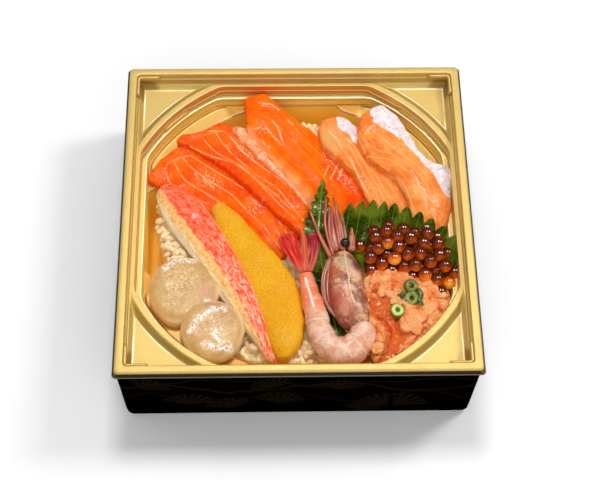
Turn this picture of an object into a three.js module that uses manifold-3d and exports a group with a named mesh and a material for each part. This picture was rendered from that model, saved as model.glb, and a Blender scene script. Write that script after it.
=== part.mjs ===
// A square takeaway box of seafood on rice: a black outer box, a gold insert tray and the food in its well.
// Millimetres, +Z up, the origin at the middle of the underside, the diner at -Y.
import * as THREE from 'three';
import * as BufferGeometryUtils from 'three/addons/utils/BufferGeometryUtils.js';
import Module from 'manifold-3d';

const wasm = await Module();
wasm.setup();

// Box and tray
const LIP_HALF = 75;
const LIP_BOTTOM = 44.6;
const LIP_TOP = 45.4;
const HEIGHT = 48;
const FLANGE_HALF = 74;
const RIM_HALF = 70.5;
const RIM_STEP = 44.8;
const RIM_FOOT_HALF = 69.9;
const LAND_Z = 42;
const PANEL_Z = 39.7;
const PANEL_HALF = 67.5;
const SLOPE_FOOT_RADIUS = 81.2;
const SLOPE_HEAD_RADIUS = 78.3;
const WELL_MOUTH = { half: 68.2, radius: 76 };
const LEDGE = { z: 35.5, outerHalf: 68, outerRadius: 75.8, half: 65.8, radius: 74.3 };
const SHELF_Z = 30;
const WELL_HALF = 65.4;
const WELL_RADIUS = 66;
const SHELF_TIP = 27.5;
const WELL_FLOOR = 5;
const SHEET = 0.8;
const ARC_STEPS = 6;
const ROUND_STEPS = 2;
const CORNER_ROUND = 1.6;
const LUG = { length: 9, depth: 1.2, bottom: 44.2, height: 3, inset: 1, sunk: 0.4 };
// How far the rim wall steps out at its snap groove, and how the ends of a shelf turn into the wall
const RIM_LEAN = 0.4;
const SHELF_END = { round: 3, inset: 1, turn: 0.8 };
const BOX_TOP_HALF = 74;
const BOX_BASE_HALF = 73.5;
const BOX_TOP = 44.3;
const BOX_WALL = 2.3;
const BOX_FLOOR = 2;
const BOX_FOOT_ROUND = 3;
const BOX_CORNER = 3;
const BOX_FLARE = 1;

// Clearance left between neighbours, the height that clears the whole part, and how far joined forms overlap
const GAP = 0.35;
const SKY = 60;
const OVERLAP = 1;
// The most that thinning out triangles may move a surface: on the smooth toppings, and on the rough heaps
const THINNING = 0.1;
const HEAP_THINNING = 0.2;

function randomSource(seed) {
  let state = seed;
  return () => {
    state = (Math.imul(state, 1664525) + 1013904223) >>> 0;
    return state / 4294967296;
  };
}

// Closed mesh from rings of equal length, each end shut by a fan round its middle
function ringGeometry(rings) {
  const size = rings[0].length;
  const points = rings.flat();
  const index = [];
  for (let ring = 0; ring + 1 < rings.length; ring++) {
    for (let i = 0; i < size; i++) {
      const a = ring * size + i;
      const b = ring * size + (i + 1) % size;
      index.push(a, b, b + size);
      index.push(a, b + size, a + size);
    }
  }
  const middleOf = (ring) => ring.reduce((sum, p) => sum.add(p), new THREE.Vector3()).divideScalar(size);
  const first = points.push(middleOf(rings[0])) - 1;
  const last = points.push(middleOf(rings[rings.length - 1])) - 1;
  const lastStart = (rings.length - 1) * size;
  for (let i = 0; i < size; i++) {
    const next = (i + 1) % size;
    index.push(first, next, i);
    index.push(last, lastStart + i, lastStart + next);
  }
  const geometry = new THREE.BufferGeometry().setFromPoints(points);
  geometry.setIndex(index);
  return geometry;
}

function signedVolume(geometry) {
  const at = geometry.getAttribute('position');
  const index = geometry.getIndex().array;
  const corner = [new THREE.Vector3(), new THREE.Vector3(), new THREE.Vector3()];
  let sum = 0;
  for (let i = 0; i < index.length; i += 3) {
    corner.forEach((p, k) => p.fromBufferAttribute(at, index[i + k]));
    sum += corner[0].dot(corner[1].clone().cross(corner[2]));
  }
  return sum / 6;
}

function solid(geometry) {
  const bare = geometry.clone();
  bare.deleteAttribute('normal');
  bare.deleteAttribute('uv');
  const merged = BufferGeometryUtils.mergeVertices(bare, 1e-4);
  const index = Uint32Array.from(merged.getIndex().array);
  if (signedVolume(merged) < 0) index.reverse();
  const vertProperties = Float32Array.from(merged.getAttribute('position').array);
  return new wasm.Manifold(new wasm.Mesh({ numProp: 3, vertProperties, triVerts: index }));
}

function ringSolid(rings) {
  return solid(ringGeometry(rings));
}

function union(solids) {
  return wasm.Manifold.union(solids);
}

// The outer surface of the largest body, so that loose scraps drop away and sealed hollows are filled
function mainBody(body) {
  return body.decompose().sort((a, b) => b.volume() - a.volume())[0];
}

function meshOf(name, body, look, thinning = 0) {
  const whole = mainBody(body);
  const result = (thinning > 0 ? mainBody(whole.simplify(thinning)) : whole).getMesh();
  const geometry = new THREE.BufferGeometry();
  geometry.setAttribute('position', new THREE.BufferAttribute(Float32Array.from(result.vertProperties), 3));
  geometry.setIndex(new THREE.BufferAttribute(Uint32Array.from(result.triVerts), 1));
  geometry.computeVertexNormals();
  const material = new THREE.MeshStandardMaterial(look);
  const mesh = new THREE.Mesh(geometry, material);
  mesh.name = name;
  return mesh;
}

function boxSolid(size, centre) {
  return solid(new THREE.BoxGeometry(...size).translate(...centre));
}

// Outlines of the tray: the square with round corners, and the circle cut by a square
function quarterTurns(quarter) {
  const outline = [];
  for (let turn = 0; turn < 4; turn++) {
    const origin = new THREE.Vector2(0, 0);
    quarter.forEach((p) => outline.push(p.clone().rotateAround(origin, turn * Math.PI / 2)));
  }
  return outline;
}

function roundSquare(half, radius) {
  const quarter = [];
  for (let i = 0; i <= ROUND_STEPS; i++) {
    const angle = (Math.PI / 2) * (i / ROUND_STEPS);
    const reach = half - radius;
    quarter.push(new THREE.Vector2(reach + radius * Math.cos(angle), reach + radius * Math.sin(angle)));
  }
  return quarterTurns(quarter);
}

function cutCircle(half, radius) {
  const start = Math.acos(half / radius);
  const quarter = [];
  for (let i = 0; i <= ARC_STEPS; i++) {
    const angle = start + (Math.PI / 2 - 2 * start) * (i / ARC_STEPS);
    quarter.push(new THREE.Vector2(radius * Math.cos(angle), radius * Math.sin(angle)));
  }
  return quarterTurns(quarter);
}

// The well under its four crescent shelves: flat walls that step in to a circle
function lowerWell(grow) {
  const half = WELL_HALF + grow;
  const radius = WELL_RADIUS + grow;
  const tip = SHELF_TIP + grow;
  const { round, inset, turn } = SHELF_END;
  const turnIn = Math.sqrt(radius * radius - tip * tip);
  const quarter = [new THREE.Vector2(half, tip - round), new THREE.Vector2(half - inset, tip - turn)];
  const start = Math.atan2(tip + turn / 2, turnIn);
  for (let i = 0; i < ARC_STEPS; i++) {
    const angle = start + (Math.PI / 2 - 2 * start) * (i / (ARC_STEPS - 1));
    quarter.push(new THREE.Vector2(radius * Math.cos(angle), radius * Math.sin(angle)));
  }
  quarter.push(new THREE.Vector2(tip - turn, half - inset), new THREE.Vector2(tip - round, half));
  return quarterTurns(quarter);
}

function stack(levels) {
  return ringSolid(levels.map(([outline, z]) => outline.map((p) => new THREE.Vector3(p.x, p.y, z))));
}

// The air inside the tray, grown outward and down by the given amount
function airSpace(grow) {
  const rim = stack([
    [roundSquare(RIM_FOOT_HALF + grow, CORNER_ROUND + grow), LAND_Z - grow],
    [roundSquare(RIM_FOOT_HALF + grow, CORNER_ROUND + grow), RIM_STEP - grow],
    [roundSquare(RIM_HALF + grow, CORNER_ROUND + grow), RIM_STEP - grow + RIM_LEAN],
    [roundSquare(RIM_HALF + grow, CORNER_ROUND + grow), SKY],
  ]);
  const corners = stack([
    [roundSquare(PANEL_HALF + grow, CORNER_ROUND + grow), PANEL_Z - grow],
    [roundSquare(RIM_FOOT_HALF + grow, CORNER_ROUND + grow), LAND_Z - grow + 0.01],
  ]);
  const slopeSides = 32;
  const slope = new THREE.CylinderGeometry(
    SLOPE_HEAD_RADIUS - grow, SLOPE_FOOT_RADIUS - grow, LAND_Z - PANEL_Z, slopeSides);
  const slopeFoot = new THREE.CylinderGeometry(
    SLOPE_FOOT_RADIUS - grow, SLOPE_FOOT_RADIUS - grow, 2 * OVERLAP, slopeSides);
  const slopeMiddle = (LAND_Z + PANEL_Z) / 2 - grow;
  const land = solid(slope.rotateX(Math.PI / 2).translate(0, 0, slopeMiddle)).add(
    solid(slopeFoot.rotateX(Math.PI / 2).translate(0, 0, PANEL_Z - grow - OVERLAP)));
  const mouth = stack([
    [cutCircle(LEDGE.outerHalf + grow, LEDGE.outerRadius + grow), LEDGE.z - grow],
    [cutCircle(WELL_MOUTH.half + grow, WELL_MOUTH.radius + grow), LAND_Z - grow],
    [cutCircle(WELL_MOUTH.half + grow, WELL_MOUTH.radius + grow), LAND_Z + OVERLAP],
  ]);
  const aboveShelf = stack([
    [cutCircle(WELL_HALF + grow, LEDGE.radius - 0.4 + grow), SHELF_Z - grow],
    [cutCircle(LEDGE.half + grow, LEDGE.radius + grow), LEDGE.z - grow],
    [cutCircle(LEDGE.half + grow, LEDGE.radius + grow), LEDGE.z + OVERLAP],
  ]);
  const well = stack([
    [lowerWell(grow), WELL_FLOOR - grow],
    [lowerWell(grow), SHELF_Z + OVERLAP],
  ]);
  return union([rim, corners.subtract(land), mouth, aboveShelf, well]);
}

function lockingLugs() {
  const reach = RIM_HALF - (LUG.depth - LUG.sunk) / 2;
  const along = RIM_HALF - LUG.length / 2 - LUG.inset;
  const middle = LUG.bottom + LUG.height / 2;
  const thick = LUG.depth + LUG.sunk;
  const lugs = [];
  for (const x of [-1, 1]) {
    for (const y of [-1, 1]) {
      lugs.push(boxSolid([thick, LUG.length, LUG.height], [x * reach, y * along, middle]));
      lugs.push(boxSolid([LUG.length, thick, LUG.height], [x * along, y * reach, middle]));
    }
  }
  return union(lugs);
}

function goldTray() {
  const square = (half, bottom, top) => stack([
    [roundSquare(half, CORNER_ROUND), bottom],
    [roundSquare(half, CORNER_ROUND), top],
  ]);
  const below = square(LIP_HALF, -OVERLAP, HEIGHT);
  const shell = airSpace(SHEET).intersect(below);
  const skirtInside = square(FLANGE_HALF - SHEET, LIP_BOTTOM - OVERLAP, HEIGHT - SHEET);
  const flange = square(FLANGE_HALF, LIP_BOTTOM, HEIGHT).add(square(LIP_HALF, LIP_BOTTOM, LIP_TOP));
  const hollow = airSpace(0);
  return flange.subtract(skirtInside).add(shell).subtract(hollow).add(lockingLugs());
}

function outerBox() {
  const footHalf = BOX_BASE_HALF - BOX_FOOT_ROUND;
  const footStep = BOX_FOOT_ROUND * (1 - Math.SQRT1_2);
  const body = stack([
    [roundSquare(footHalf, BOX_CORNER), 0],
    [roundSquare(BOX_BASE_HALF - footStep, BOX_CORNER), footStep],
    [roundSquare(BOX_BASE_HALF, BOX_CORNER), BOX_FOOT_ROUND],
    [roundSquare(BOX_TOP_HALF, BOX_CORNER), BOX_TOP],
  ]);
  const cavity = stack([
    [roundSquare(BOX_BASE_HALF - BOX_WALL - BOX_FLARE, BOX_CORNER), BOX_FLOOR],
    [roundSquare(BOX_TOP_HALF - BOX_WALL, BOX_CORNER), BOX_TOP + OVERLAP],
  ]);
  return body.subtract(cavity);
}

// A slice or stick between two edges, given as points on its upper surface from end to end.
// thick is its depth, crown how far its middle stands proud, square how flat its sides are,
// and tips the share of the length over which each end rounds off.
const BLUNT_END = 0.25;

function slab(form, grow = 0) {
  const toCurve = (points) => new THREE.CatmullRomCurve3(
    points.map((p) => new THREE.Vector3(...p)), false, 'centripetal');
  const left = toCurve(form.left);
  const right = toCurve(form.right);
  const { steps = 10, sides = 10, square = 0.6, crown = 0, tips = [0.1, 0.1] } = form;
  const middleAt = (u) => left.getPoint(u).add(right.getPoint(u)).multiplyScalar(0.5);
  const rings = [];
  for (let step = 0; step <= steps; step++) {
    const u = (1 - Math.cos(Math.PI * step / steps)) / 2;
    const across = right.getPoint(u).sub(left.getPoint(u)).multiplyScalar(0.5);
    const nearby = 0.01;
    const along = middleAt(Math.min(1, u + nearby)).sub(middleAt(Math.max(0, u - nearby))).normalize();
    const up = new THREE.Vector3().crossVectors(across, along).normalize();
    if (up.z < 0) up.negate();
    const fromEnd = Math.min(u / tips[0], (1 - u) / tips[1], 1);
    const taper = Math.max(BLUNT_END, Math.sqrt(1 - (1 - fromEnd) ** 2));
    const halfWidth = across.length() * taper + grow;
    const halfThick = form.thick / 2 * (0.4 + 0.6 * taper) + grow;
    const endShift = along.clone().multiplyScalar(step === 0 ? -grow : step === steps ? grow : 0);
    const centre = middleAt(u).add(endShift).addScaledVector(up, -form.thick / 2);
    across.normalize();
    const ring = [];
    for (let side = 0; side < sides; side++) {
      const angle = 2 * Math.PI * side / sides;
      const c = Math.sign(Math.cos(angle)) * Math.abs(Math.cos(angle)) ** square;
      const s = Math.sign(Math.sin(angle)) * Math.abs(Math.sin(angle)) ** square;
      ring.push(centre.clone()
        .addScaledVector(across, halfWidth * c)
        .addScaledVector(up, halfThick * s + crown * taper * (1 - c * c)));
    }
    rings.push(ring);
  }
  return ringSolid(rings);
}

// A bent round limb: stations of [x, y, z, half width, half height]
function limb(stations, grow = 0, steps = 10, sides = 8) {
  const path = new THREE.CatmullRomCurve3(
    stations.map(([x, y, z]) => new THREE.Vector3(x, y, z)), false, 'centripetal');
  const size = new THREE.CatmullRomCurve3(
    stations.map(([, , , width, height]) => new THREE.Vector3(width, height, 0)), false, 'centripetal');
  const zAxis = new THREE.Vector3(0, 0, 1);
  const rings = [];
  for (let step = 0; step <= steps; step++) {
    const u = (1 - Math.cos(Math.PI * step / steps)) / 2;
    const along = path.getTangent(u);
    const across = new THREE.Vector3().crossVectors(along, zAxis).normalize();
    const up = new THREE.Vector3().crossVectors(across, along);
    const reach = size.getPoint(u);
    const endShift = along.clone().multiplyScalar(step === 0 ? -grow : step === steps ? grow : 0);
    const centre = path.getPoint(u).add(endShift);
    const ring = [];
    for (let side = 0; side < sides; side++) {
      const angle = 2 * Math.PI * side / sides;
      ring.push(centre.clone()
        .addScaledVector(across, (reach.x + grow) * Math.cos(angle))
        .addScaledVector(up, (reach.y + grow) * Math.sin(angle)));
    }
    rings.push(ring);
  }
  return ringSolid(rings);
}

// Reach of an uneven round outline at an angle, from reaches spaced evenly round the turn
function reachAt(reaches, angle) {
  const count = reaches.length;
  const place = (((angle / (2 * Math.PI)) % 1) + 1) % 1 * count;
  const k = Math.floor(place);
  const t = place - k;
  const [a, b, c, d] = [-1, 0, 1, 2].map((shift) => reaches[(k + shift + count) % count]);
  return b + 0.5 * t * (c - a + t * (2 * a - 5 * b + 4 * c - d + t * (3 * (b - c) + d - a)));
}

// Height of a mound above its rim level at a place
function moundTop(form, x, y) {
  const dx = x - form.centre[0];
  const dy = y - form.centre[1];
  const share = Math.min(1, Math.hypot(dx, dy) / reachAt(form.reach, Math.atan2(dy, dx)));
  return form.rim + (form.top - form.rim) * (1 - share ** form.flat) ** (1 / form.flat);
}

function mound(form, grow = 0) {
  const { sectors = 32, shares = [1, 0.95, 0.8, 0.5], rough = 0 } = form;
  const random = randomSource(17);
  const ringAt = (share, z) => {
    const ring = [];
    for (let i = 0; i < sectors; i++) {
      const angle = 2 * Math.PI * i / sectors;
      const reach = (reachAt(form.reach, angle) + grow) * share;
      const x = form.centre[0] + reach * Math.cos(angle);
      const y = form.centre[1] + reach * Math.sin(angle);
      const crest = (form.top - form.rim) * (1 - share ** form.flat) ** (1 / form.flat);
      ring.push(new THREE.Vector3(x, y, z ?? form.rim + grow + crest + rough * share * (2 * random() - 1)));
    }
    return ring;
  };
  const rings = [ringAt(form.foot ?? 0.95, form.floor - grow), ...shares.map((share) => ringAt(share))];
  rings.push(ringAt(0.08));
  return ringSolid(rings);
}

// A small blob with few faces, for grains, eggs and crumbs of fish
function pebble(centre, radii, turn, detail = [6, 4]) {
  const shape = new THREE.SphereGeometry(1, detail[0], detail[1]);
  shape.scale(...radii);
  shape.rotateX(turn[0]).rotateZ(turn[1]);
  return solid(shape.translate(...centre));
}

// Toppings, from the front left to the right
const SCALLOP_BACK = {
  centre: [-48, -30.6], reach: [15, 15.2, 15.8, 16, 15.4, 14.8, 15.2, 16, 15.2, 14.6],
  floor: 27.5, rim: 31.5, top: 36.8, flat: 2.6, foot: 0.86, sectors: 20,
};
const SCALLOP_FRONT = {
  centre: [-35.8, -50.2], reach: [13.4, 13.6, 13.6, 14, 14.2, 13.4, 13, 13.2, 13.8, 13.6],
  floor: 29, rim: 33.2, top: 38.4, flat: 2.6, foot: 0.86, sectors: 20,
};
const CRAB_LEG = {
  left: [[-62.4, 18.6, 35], [-60, 9, 34.5], [-54, -1.5, 34.5], [-46, -13.5, 34.5], [-38, -26.5, 34.5],
    [-30, -38.5, 34.5], [-23, -49, 34.5], [-16.5, -58, 34], [-12, -64.6, 33.5]],
  right: [[-54.5, 22.5, 36], [-42.5, 12.5, 37], [-36, 3, 37.5], [-29.8, -8, 38], [-23.3, -21, 38],
    [-18, -33.5, 38], [-14.4, -45.5, 37.5], [-12, -57, 36.5], [-9.6, -64.4, 35]],
  thick: 8.5, crown: 2.2, square: 0.8, steps: 14, tips: [0.05, 0.05],
};
const HERRING_ROE = {
  left: [[-37.5, 8, 36], [-35, 0.5, 36], [-29.5, -11, 36], [-23.5, -24, 36], [-18.5, -36, 36],
    [-14.5, -48, 36], [-11.5, -58, 35.5], [-8.5, -63.5, 34.5]],
  right: [[-32.5, 12, 35.5], [-24, 4.8, 35.5], [-14.5, -7, 35.5], [-5.5, -18, 35.5], [0.8, -30, 35.5],
    [2.8, -43, 35.5], [1.2, -56, 35.5], [-3.5, -63, 34.5]],
  thick: 8, crown: 2, square: 0.7, steps: 12, tips: [0.04, 0.08],
};
const SALMON_LEFT_FRONT = {
  left: [[-65.4, 25, 35], [-55, 18, 33.5], [-43, 9.5, 33], [-32, 5.5, 33], [-22, 0, 33],
    [-13, -8.5, 33], [-6, -16, 32.5]],
  right: [[-60.5, 33, 35.4], [-49, 40.5, 35.8], [-37, 34, 35.5], [-27, 28, 35.5], [-16, 19, 35.5],
    [-5, 8, 35], [3, -3, 34]],
  thick: 5, crown: 0.6, square: 0.5, tips: [0.08, 0.1],
};
const SALMON_LEFT_BACK = {
  left: [[-53, 42.8, 37], [-45.5, 38.4, 38], [-37, 32.5, 38.5], [-29, 26.6, 38.5], [-20, 17.6, 38.5],
    [-10, 7, 38.3], [-1, -1.4, 37.8], [5, -8, 36.5]],
  right: [[-51, 45, 36.6], [-42, 47.6, 36.4], [-32.6, 52.4, 36], [-25, 46.6, 35.5], [-14, 36.4, 35.5],
    [-3.4, 23, 35.5], [5, 10, 35.3], [10, 1, 34.8]],
  thick: 4.5, crown: 0.8, square: 0.5, tips: [0.05, 0.1],
};
const SALMON_CENTRE = {
  left: [[-22.6, 64.5, 38.2], [-21.4, 55, 35.6], [-21, 46, 33.5], [-17, 36, 33], [-7, 25, 33],
    [2, 14, 33], [9, 5, 33], [13, -3, 32.5]],
  right: [[-13.5, 67, 39.6], [-2.4, 58, 37.4], [8, 48, 36], [15, 39, 35], [22, 30, 34.5],
    [28, 20, 34.5], [31, 9, 34.5], [32, -1, 34]],
  thick: 5.5, crown: 1.8, square: 0.5, tips: [0.05, 0.08],
};
const SALMON_RIGHT_BACK = {
  left: [[12.6, 54, 36.4], [11.5, 46.4, 37.5], [14, 38, 38.5], [21, 31, 38.5], [26.5, 25, 38.5],
    [29.5, 18, 38], [32, 10, 37.3], [34, 2, 36]],
  right: [[20.4, 56.6, 35.5], [29.6, 49, 34], [35, 41, 33.5], [40, 33, 33.5], [45, 25, 33.5],
    [49, 17, 34], [52, 8, 34], [54, 0, 34]],
  thick: 4.6, crown: 0.9, square: 0.5, tips: [0.07, 0.08],
};
const SALMON_RIGHT_FRONT = {
  left: [[31, 56, 37], [29.5, 48, 38], [29.5, 39.6, 38.5], [33, 31.6, 39], [38, 27, 39],
    [44, 22, 38.5], [48, 15, 38], [50, 6, 37], [51.5, -5, 36]],
  right: [[40, 62, 36.5], [48.5, 54.6, 35.5], [53.5, 46, 35.2], [58.4, 37.6, 35.2], [62, 31, 36],
    [67.2, 27, 37.4], [67.4, 15, 37.8], [66, 4, 37.4], [62.5, -7, 36.4]],
  thick: 4.8, crown: 0.9, square: 0.5, tips: [0.06, 0.08],
};
const MINCED_SALMON = {
  centre: [45, -43.5], reach: [18.5, 20.5, 19, 20.5, 25, 20, 16.5, 18.5, 24.5, 18, 14, 15.5],
  floor: 29, rim: 33, top: 40.2, flat: 2.4, foot: 0.92, sectors: 22, shares: [1, 0.84, 0.64, 0.4],
  rough: 1.1,
};
const SALMON_ROE = {
  centre: [47, -15], reach: [20, 17, 14.5, 13, 14.5, 19, 20, 13, 9, 10, 16, 23],
  floor: 34, rim: 35, top: 39.6, flat: 2.2, foot: 0.9, sectors: 12, shares: [1, 0.75],
};
const RICE = {
  centre: [0, 0],
  reach: [61.5, 62, 64, 63, 60.5, 60, 61, 63, 64, 61, 57, 58, 63, 64.5, 63.5, 64, 63, 62],
  floor: WELL_FLOOR + GAP, rim: 15, top: 29, flat: 3.6, foot: 0.97, sectors: 26,
  shares: [1, 0.97, 0.88, 0.6],
};

// A pointed leaf with saw teeth along both sides of its spine.
// spine runs from base to tip; sides are the half widths on either hand at even steps along it.
const SHISO_LARGE = {
  spine: [[17, -13, 34.2], [32, -13.5, 33.8], [46, -14.5, 33.8], [58, -17.5, 35], [67.3, -23, 37.2]],
  sides: [[20, 22.5, 22, 19, 15, 11.5, 0.6], [4, 8, 11, 12, 11, 8, 0.6]],
  lift: [4.4, 0.6], teeth: 11, toothDepth: 0.1, ripple: 0.5,
};
const SHISO_SMALL = {
  spine: [[17.5, -57, 30.1], [15, -42, 30.4], [11.5, -24, 32.6], [9.5, -8, 36.6], [10.5, 7, 38.4],
    [12, 20, 38.6]],
  sides: [[2, 6.5, 7.5, 6, 6, 3, 0.5], [2, 6.5, 7, 6, 6, 3.4, 0.5]],
  lift: [0.3, 0.3], teeth: 9, toothDepth: 0.16, ripple: 0.3,
};
const LEAF_SHEET = 0.7;
const LEAF_SHARES = [1, 0.6, 0.25];
const LEAF_WAVE = { perRow: 2.1, perShare: 5 };

function leaf(form, grow = 0) {
  const spine = new THREE.CatmullRomCurve3(
    form.spine.map((p) => new THREE.Vector3(...p)), false, 'centripetal');
  const rows = 2 * form.teeth;
  const halfWidth = (list, u) => {
    const place = u * (list.length - 1);
    const k = Math.min(list.length - 2, Math.floor(place));
    return THREE.MathUtils.lerp(list[k], list[k + 1], place - k);
  };
  const faces = [1, -1].map((face) => {
    const grid = [];
    for (let row = 0; row <= rows; row++) {
      const u = row / rows;
      const along = spine.getTangent(u).setZ(0).normalize();
      const across = new THREE.Vector3(-along.y, along.x, 0);
      const tooth = row % 2 === 0 ? -form.toothDepth : form.toothDepth;
      const line = [];
      for (const [hand, sign] of [[0, 1], [1, -1]]) {
        const order = hand === 0 ? LEAF_SHARES : [0, ...[...LEAF_SHARES].reverse()];
        for (const share of order) {
          const edge = share === 1 ? 1 + tooth : 1;
          const out = halfWidth(form.sides[hand], u) * share * edge + (share === 1 ? grow : 0);
          const point = spine.getPoint(u).addScaledVector(across, sign * out);
          point.addScaledVector(along, share === 1 ? out * form.toothDepth * 0.8 : 0);
          const phase = LEAF_WAVE.perRow * row + LEAF_WAVE.perShare * share;
          const wave = form.ripple * Math.sin(phase) * share;
          point.z += form.lift[hand] * share * share + wave + face * (LEAF_SHEET / 2 + grow);
          line.push(point);
        }
      }
      grid.push(line);
    }
    return grid;
  });
  const width = faces[0][0].length;
  const rings = faces[0].map((line, row) => [...line, ...[...faces[1][row]].reverse()]);
  const points = rings.flat();
  const size = 2 * width;
  const index = [];
  const quad = (a, b, c, d) => index.push(a, b, c, a, c, d);
  for (let row = 0; row < rows; row++) {
    const here = row * size;
    const next = here + size;
    for (let i = 0; i + 1 < width; i++) {
      quad(here + i, here + i + 1, next + i + 1, next + i);
      const under = size - 1 - i;
      quad(next + under, next + under - 1, here + under - 1, here + under);
    }
    quad(here + width - 1, here + width, next + width, next + width - 1);
    quad(here + size - 1, here, next, next + size - 1);
  }
  for (const [row, flip] of [[0, false], [rows, true]]) {
    const here = row * size;
    for (let i = 0; i + 1 < width; i++) {
      const [a, b, c, d] = [here + i, here + i + 1, here + size - 2 - i, here + size - 1 - i];
      if (flip) quad(a, b, c, d);
      else quad(d, c, b, a);
    }
  }
  const geometry = new THREE.BufferGeometry().setFromPoints(points);
  geometry.setIndex(index);
  return solid(geometry);
}

// The shrimp: a tail fan, a belly that curls round to the shell of the head, an eye, spikes and feelers
const SHRIMP = {
  belly: [[3.6, -24, 36.5, 3, 2.6], [5, -33, 36.2, 4, 3.4], [7.6, -43, 35.8, 4.8, 4.4],
    [9.4, -52, 35.5, 5.4, 5], [14, -58.6, 35.5, 6, 5.2], [20.5, -59.6, 35.5, 6.2, 5.2],
    [26, -55, 35.6, 6, 5.2], [27, -47, 36, 5, 4.6]],
  shell: [[26.6, -50, 35.6, 3.4, 3.4], [24, -45, 36, 7.4, 5.4], [21.2, -37, 36.4, 8.2, 6],
    [20.5, -27, 36.6, 8.2, 6], [20.4, -19, 36.8, 6.6, 5], [20.2, -13.5, 37, 3.6, 3]],
  eye: { centre: [20.6, -12, 40.6], radius: 2.1 },
  fan: [
    [[3.2, -24, 36.8, 2.4, 1.6], [-2.6, -14, 37.6, 2.8, 1.2], [-6.2, -6.5, 38, 1.2, 0.6]],
    [[3.2, -24, 37.4, 2, 1.4], [-0.6, -12, 38.4, 2.2, 1.1], [-2.6, -5, 38.6, 0.8, 0.5]],
    [[3.8, -24, 37.2, 2.2, 1.4], [3.6, -13, 38.2, 2.6, 1.1], [2.8, -4.2, 38.6, 1, 0.5]],
    [[4.4, -24, 36.8, 2.6, 1.6], [7, -15, 37.6, 2.8, 1.2], [7, -6, 38, 1.4, 0.6]],
  ],
  spikes: [
    [[19.8, -15, 39, 1.6, 1.4], [18.4, -4, 40, 1.4, 1], [17.2, 8.5, 40.6, 0.5, 0.45]],
    [[17, -15, 38.4, 1.6, 1.2], [15.6, -4, 39.6, 1.1, 0.8], [15.2, 5, 40, 0.45, 0.4]],
    [[23, -15, 38.4, 2, 1.4], [23.8, -9, 38.8, 1.4, 0.9], [23.6, -3.6, 39, 0.45, 0.4]],
  ],
  feelers: [
    [[15.5, -17, 38.4, 1, 0.9], [12.6, -5, 39.8, 0.8, 0.8], [12.8, 11, 40.8, 0.55, 0.55]],
    [[14.5, -18, 38, 1, 0.9], [10, -8, 39.2, 0.8, 0.8], [5.8, 4.5, 40, 0.55, 0.55]],
    [[14.6, -17, 38, 1.2, 1.2], [11.6, -26, 37.6, 1.1, 1.1], [11.4, -36, 36.8, 1, 1],
      [15.8, -45, 36.4, 0.8, 0.8]],
  ],
};

function shrimp(grow = 0) {
  const eye = SHRIMP.eye;
  const parts = [limb(SHRIMP.belly, grow, 12, 8), limb(SHRIMP.shell, grow, 8, 8)];
  SHRIMP.fan.forEach((lobe) => parts.push(limb(lobe, grow, 3, 5)));
  SHRIMP.spikes.forEach((spike) => parts.push(limb(spike, grow, 3, 4)));
  SHRIMP.feelers.forEach((feeler) => parts.push(limb(feeler, grow, 4, 4)));
  parts.push(pebble(eye.centre, Array(3).fill(eye.radius + grow), [0, 0], [7, 5]));
  return union(parts);
}

// Salmon eggs set in rows over their core, each a little off its place
const EGG = { radius: 2.95, spacing: 6.3, rows: 4, columns: 5, shift: 0.7, rise: 0.8, overhang: 1.6 };

function eggPlaces() {
  const random = randomSource(11);
  const [cx, cy] = SALMON_ROE.centre;
  const rowStep = EGG.spacing * Math.sqrt(3) / 2;
  const places = [];
  for (let row = -EGG.rows; row <= EGG.rows; row++) {
    for (let column = -EGG.columns; column <= EGG.columns; column++) {
      const x = cx + (column + 0.5 * (row & 1)) * EGG.spacing + EGG.shift * (random() - 0.5);
      const y = cy + row * rowStep + EGG.shift * (random() - 0.5);
      const rise = EGG.rise * (random() - 0.5);
      const reach = reachAt(SALMON_ROE.reach, Math.atan2(y - cy, x - cx));
      if (Math.hypot(x - cx, y - cy) > reach - EGG.radius + EGG.overhang) continue;
      places.push([x, y, moundTop(SALMON_ROE, x, y) + rise]);
    }
  }
  return places;
}

function salmonRoe(grow = 0) {
  const radius = EGG.radius + grow;
  const eggs = eggPlaces().map((place) => pebble(place, [radius, radius, radius], [0, 0], [6, 4]));
  return union([mound(SALMON_ROE, grow), ...eggs]);
}

// Minced salmon: flat flakes pressed into a core, with three cut onion rings on top
const FLAKE = { count: 7, outermost: 0.86, size: 3.6, spread: 1.8,
  shape: [0.8, 1.35], thin: 1.5, lean: 0.7 };
const GOLDEN_ANGLE = Math.PI * (3 - Math.sqrt(5));
const ONION = { outer: 2.9, inner: 1.5, height: 2.2, sides: 8 };
// Each ring's place [x, y, z of its top], how far it leans over, and which way
const ONION_PLACES = [
  [41.2, -44.4, 40.9, 0.1, 0.2],
  [47.6, -33.6, 41.1, 0.7, 0.4],
  [47.2, -38.8, 41.5, 0.8, -0.5],
];

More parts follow.
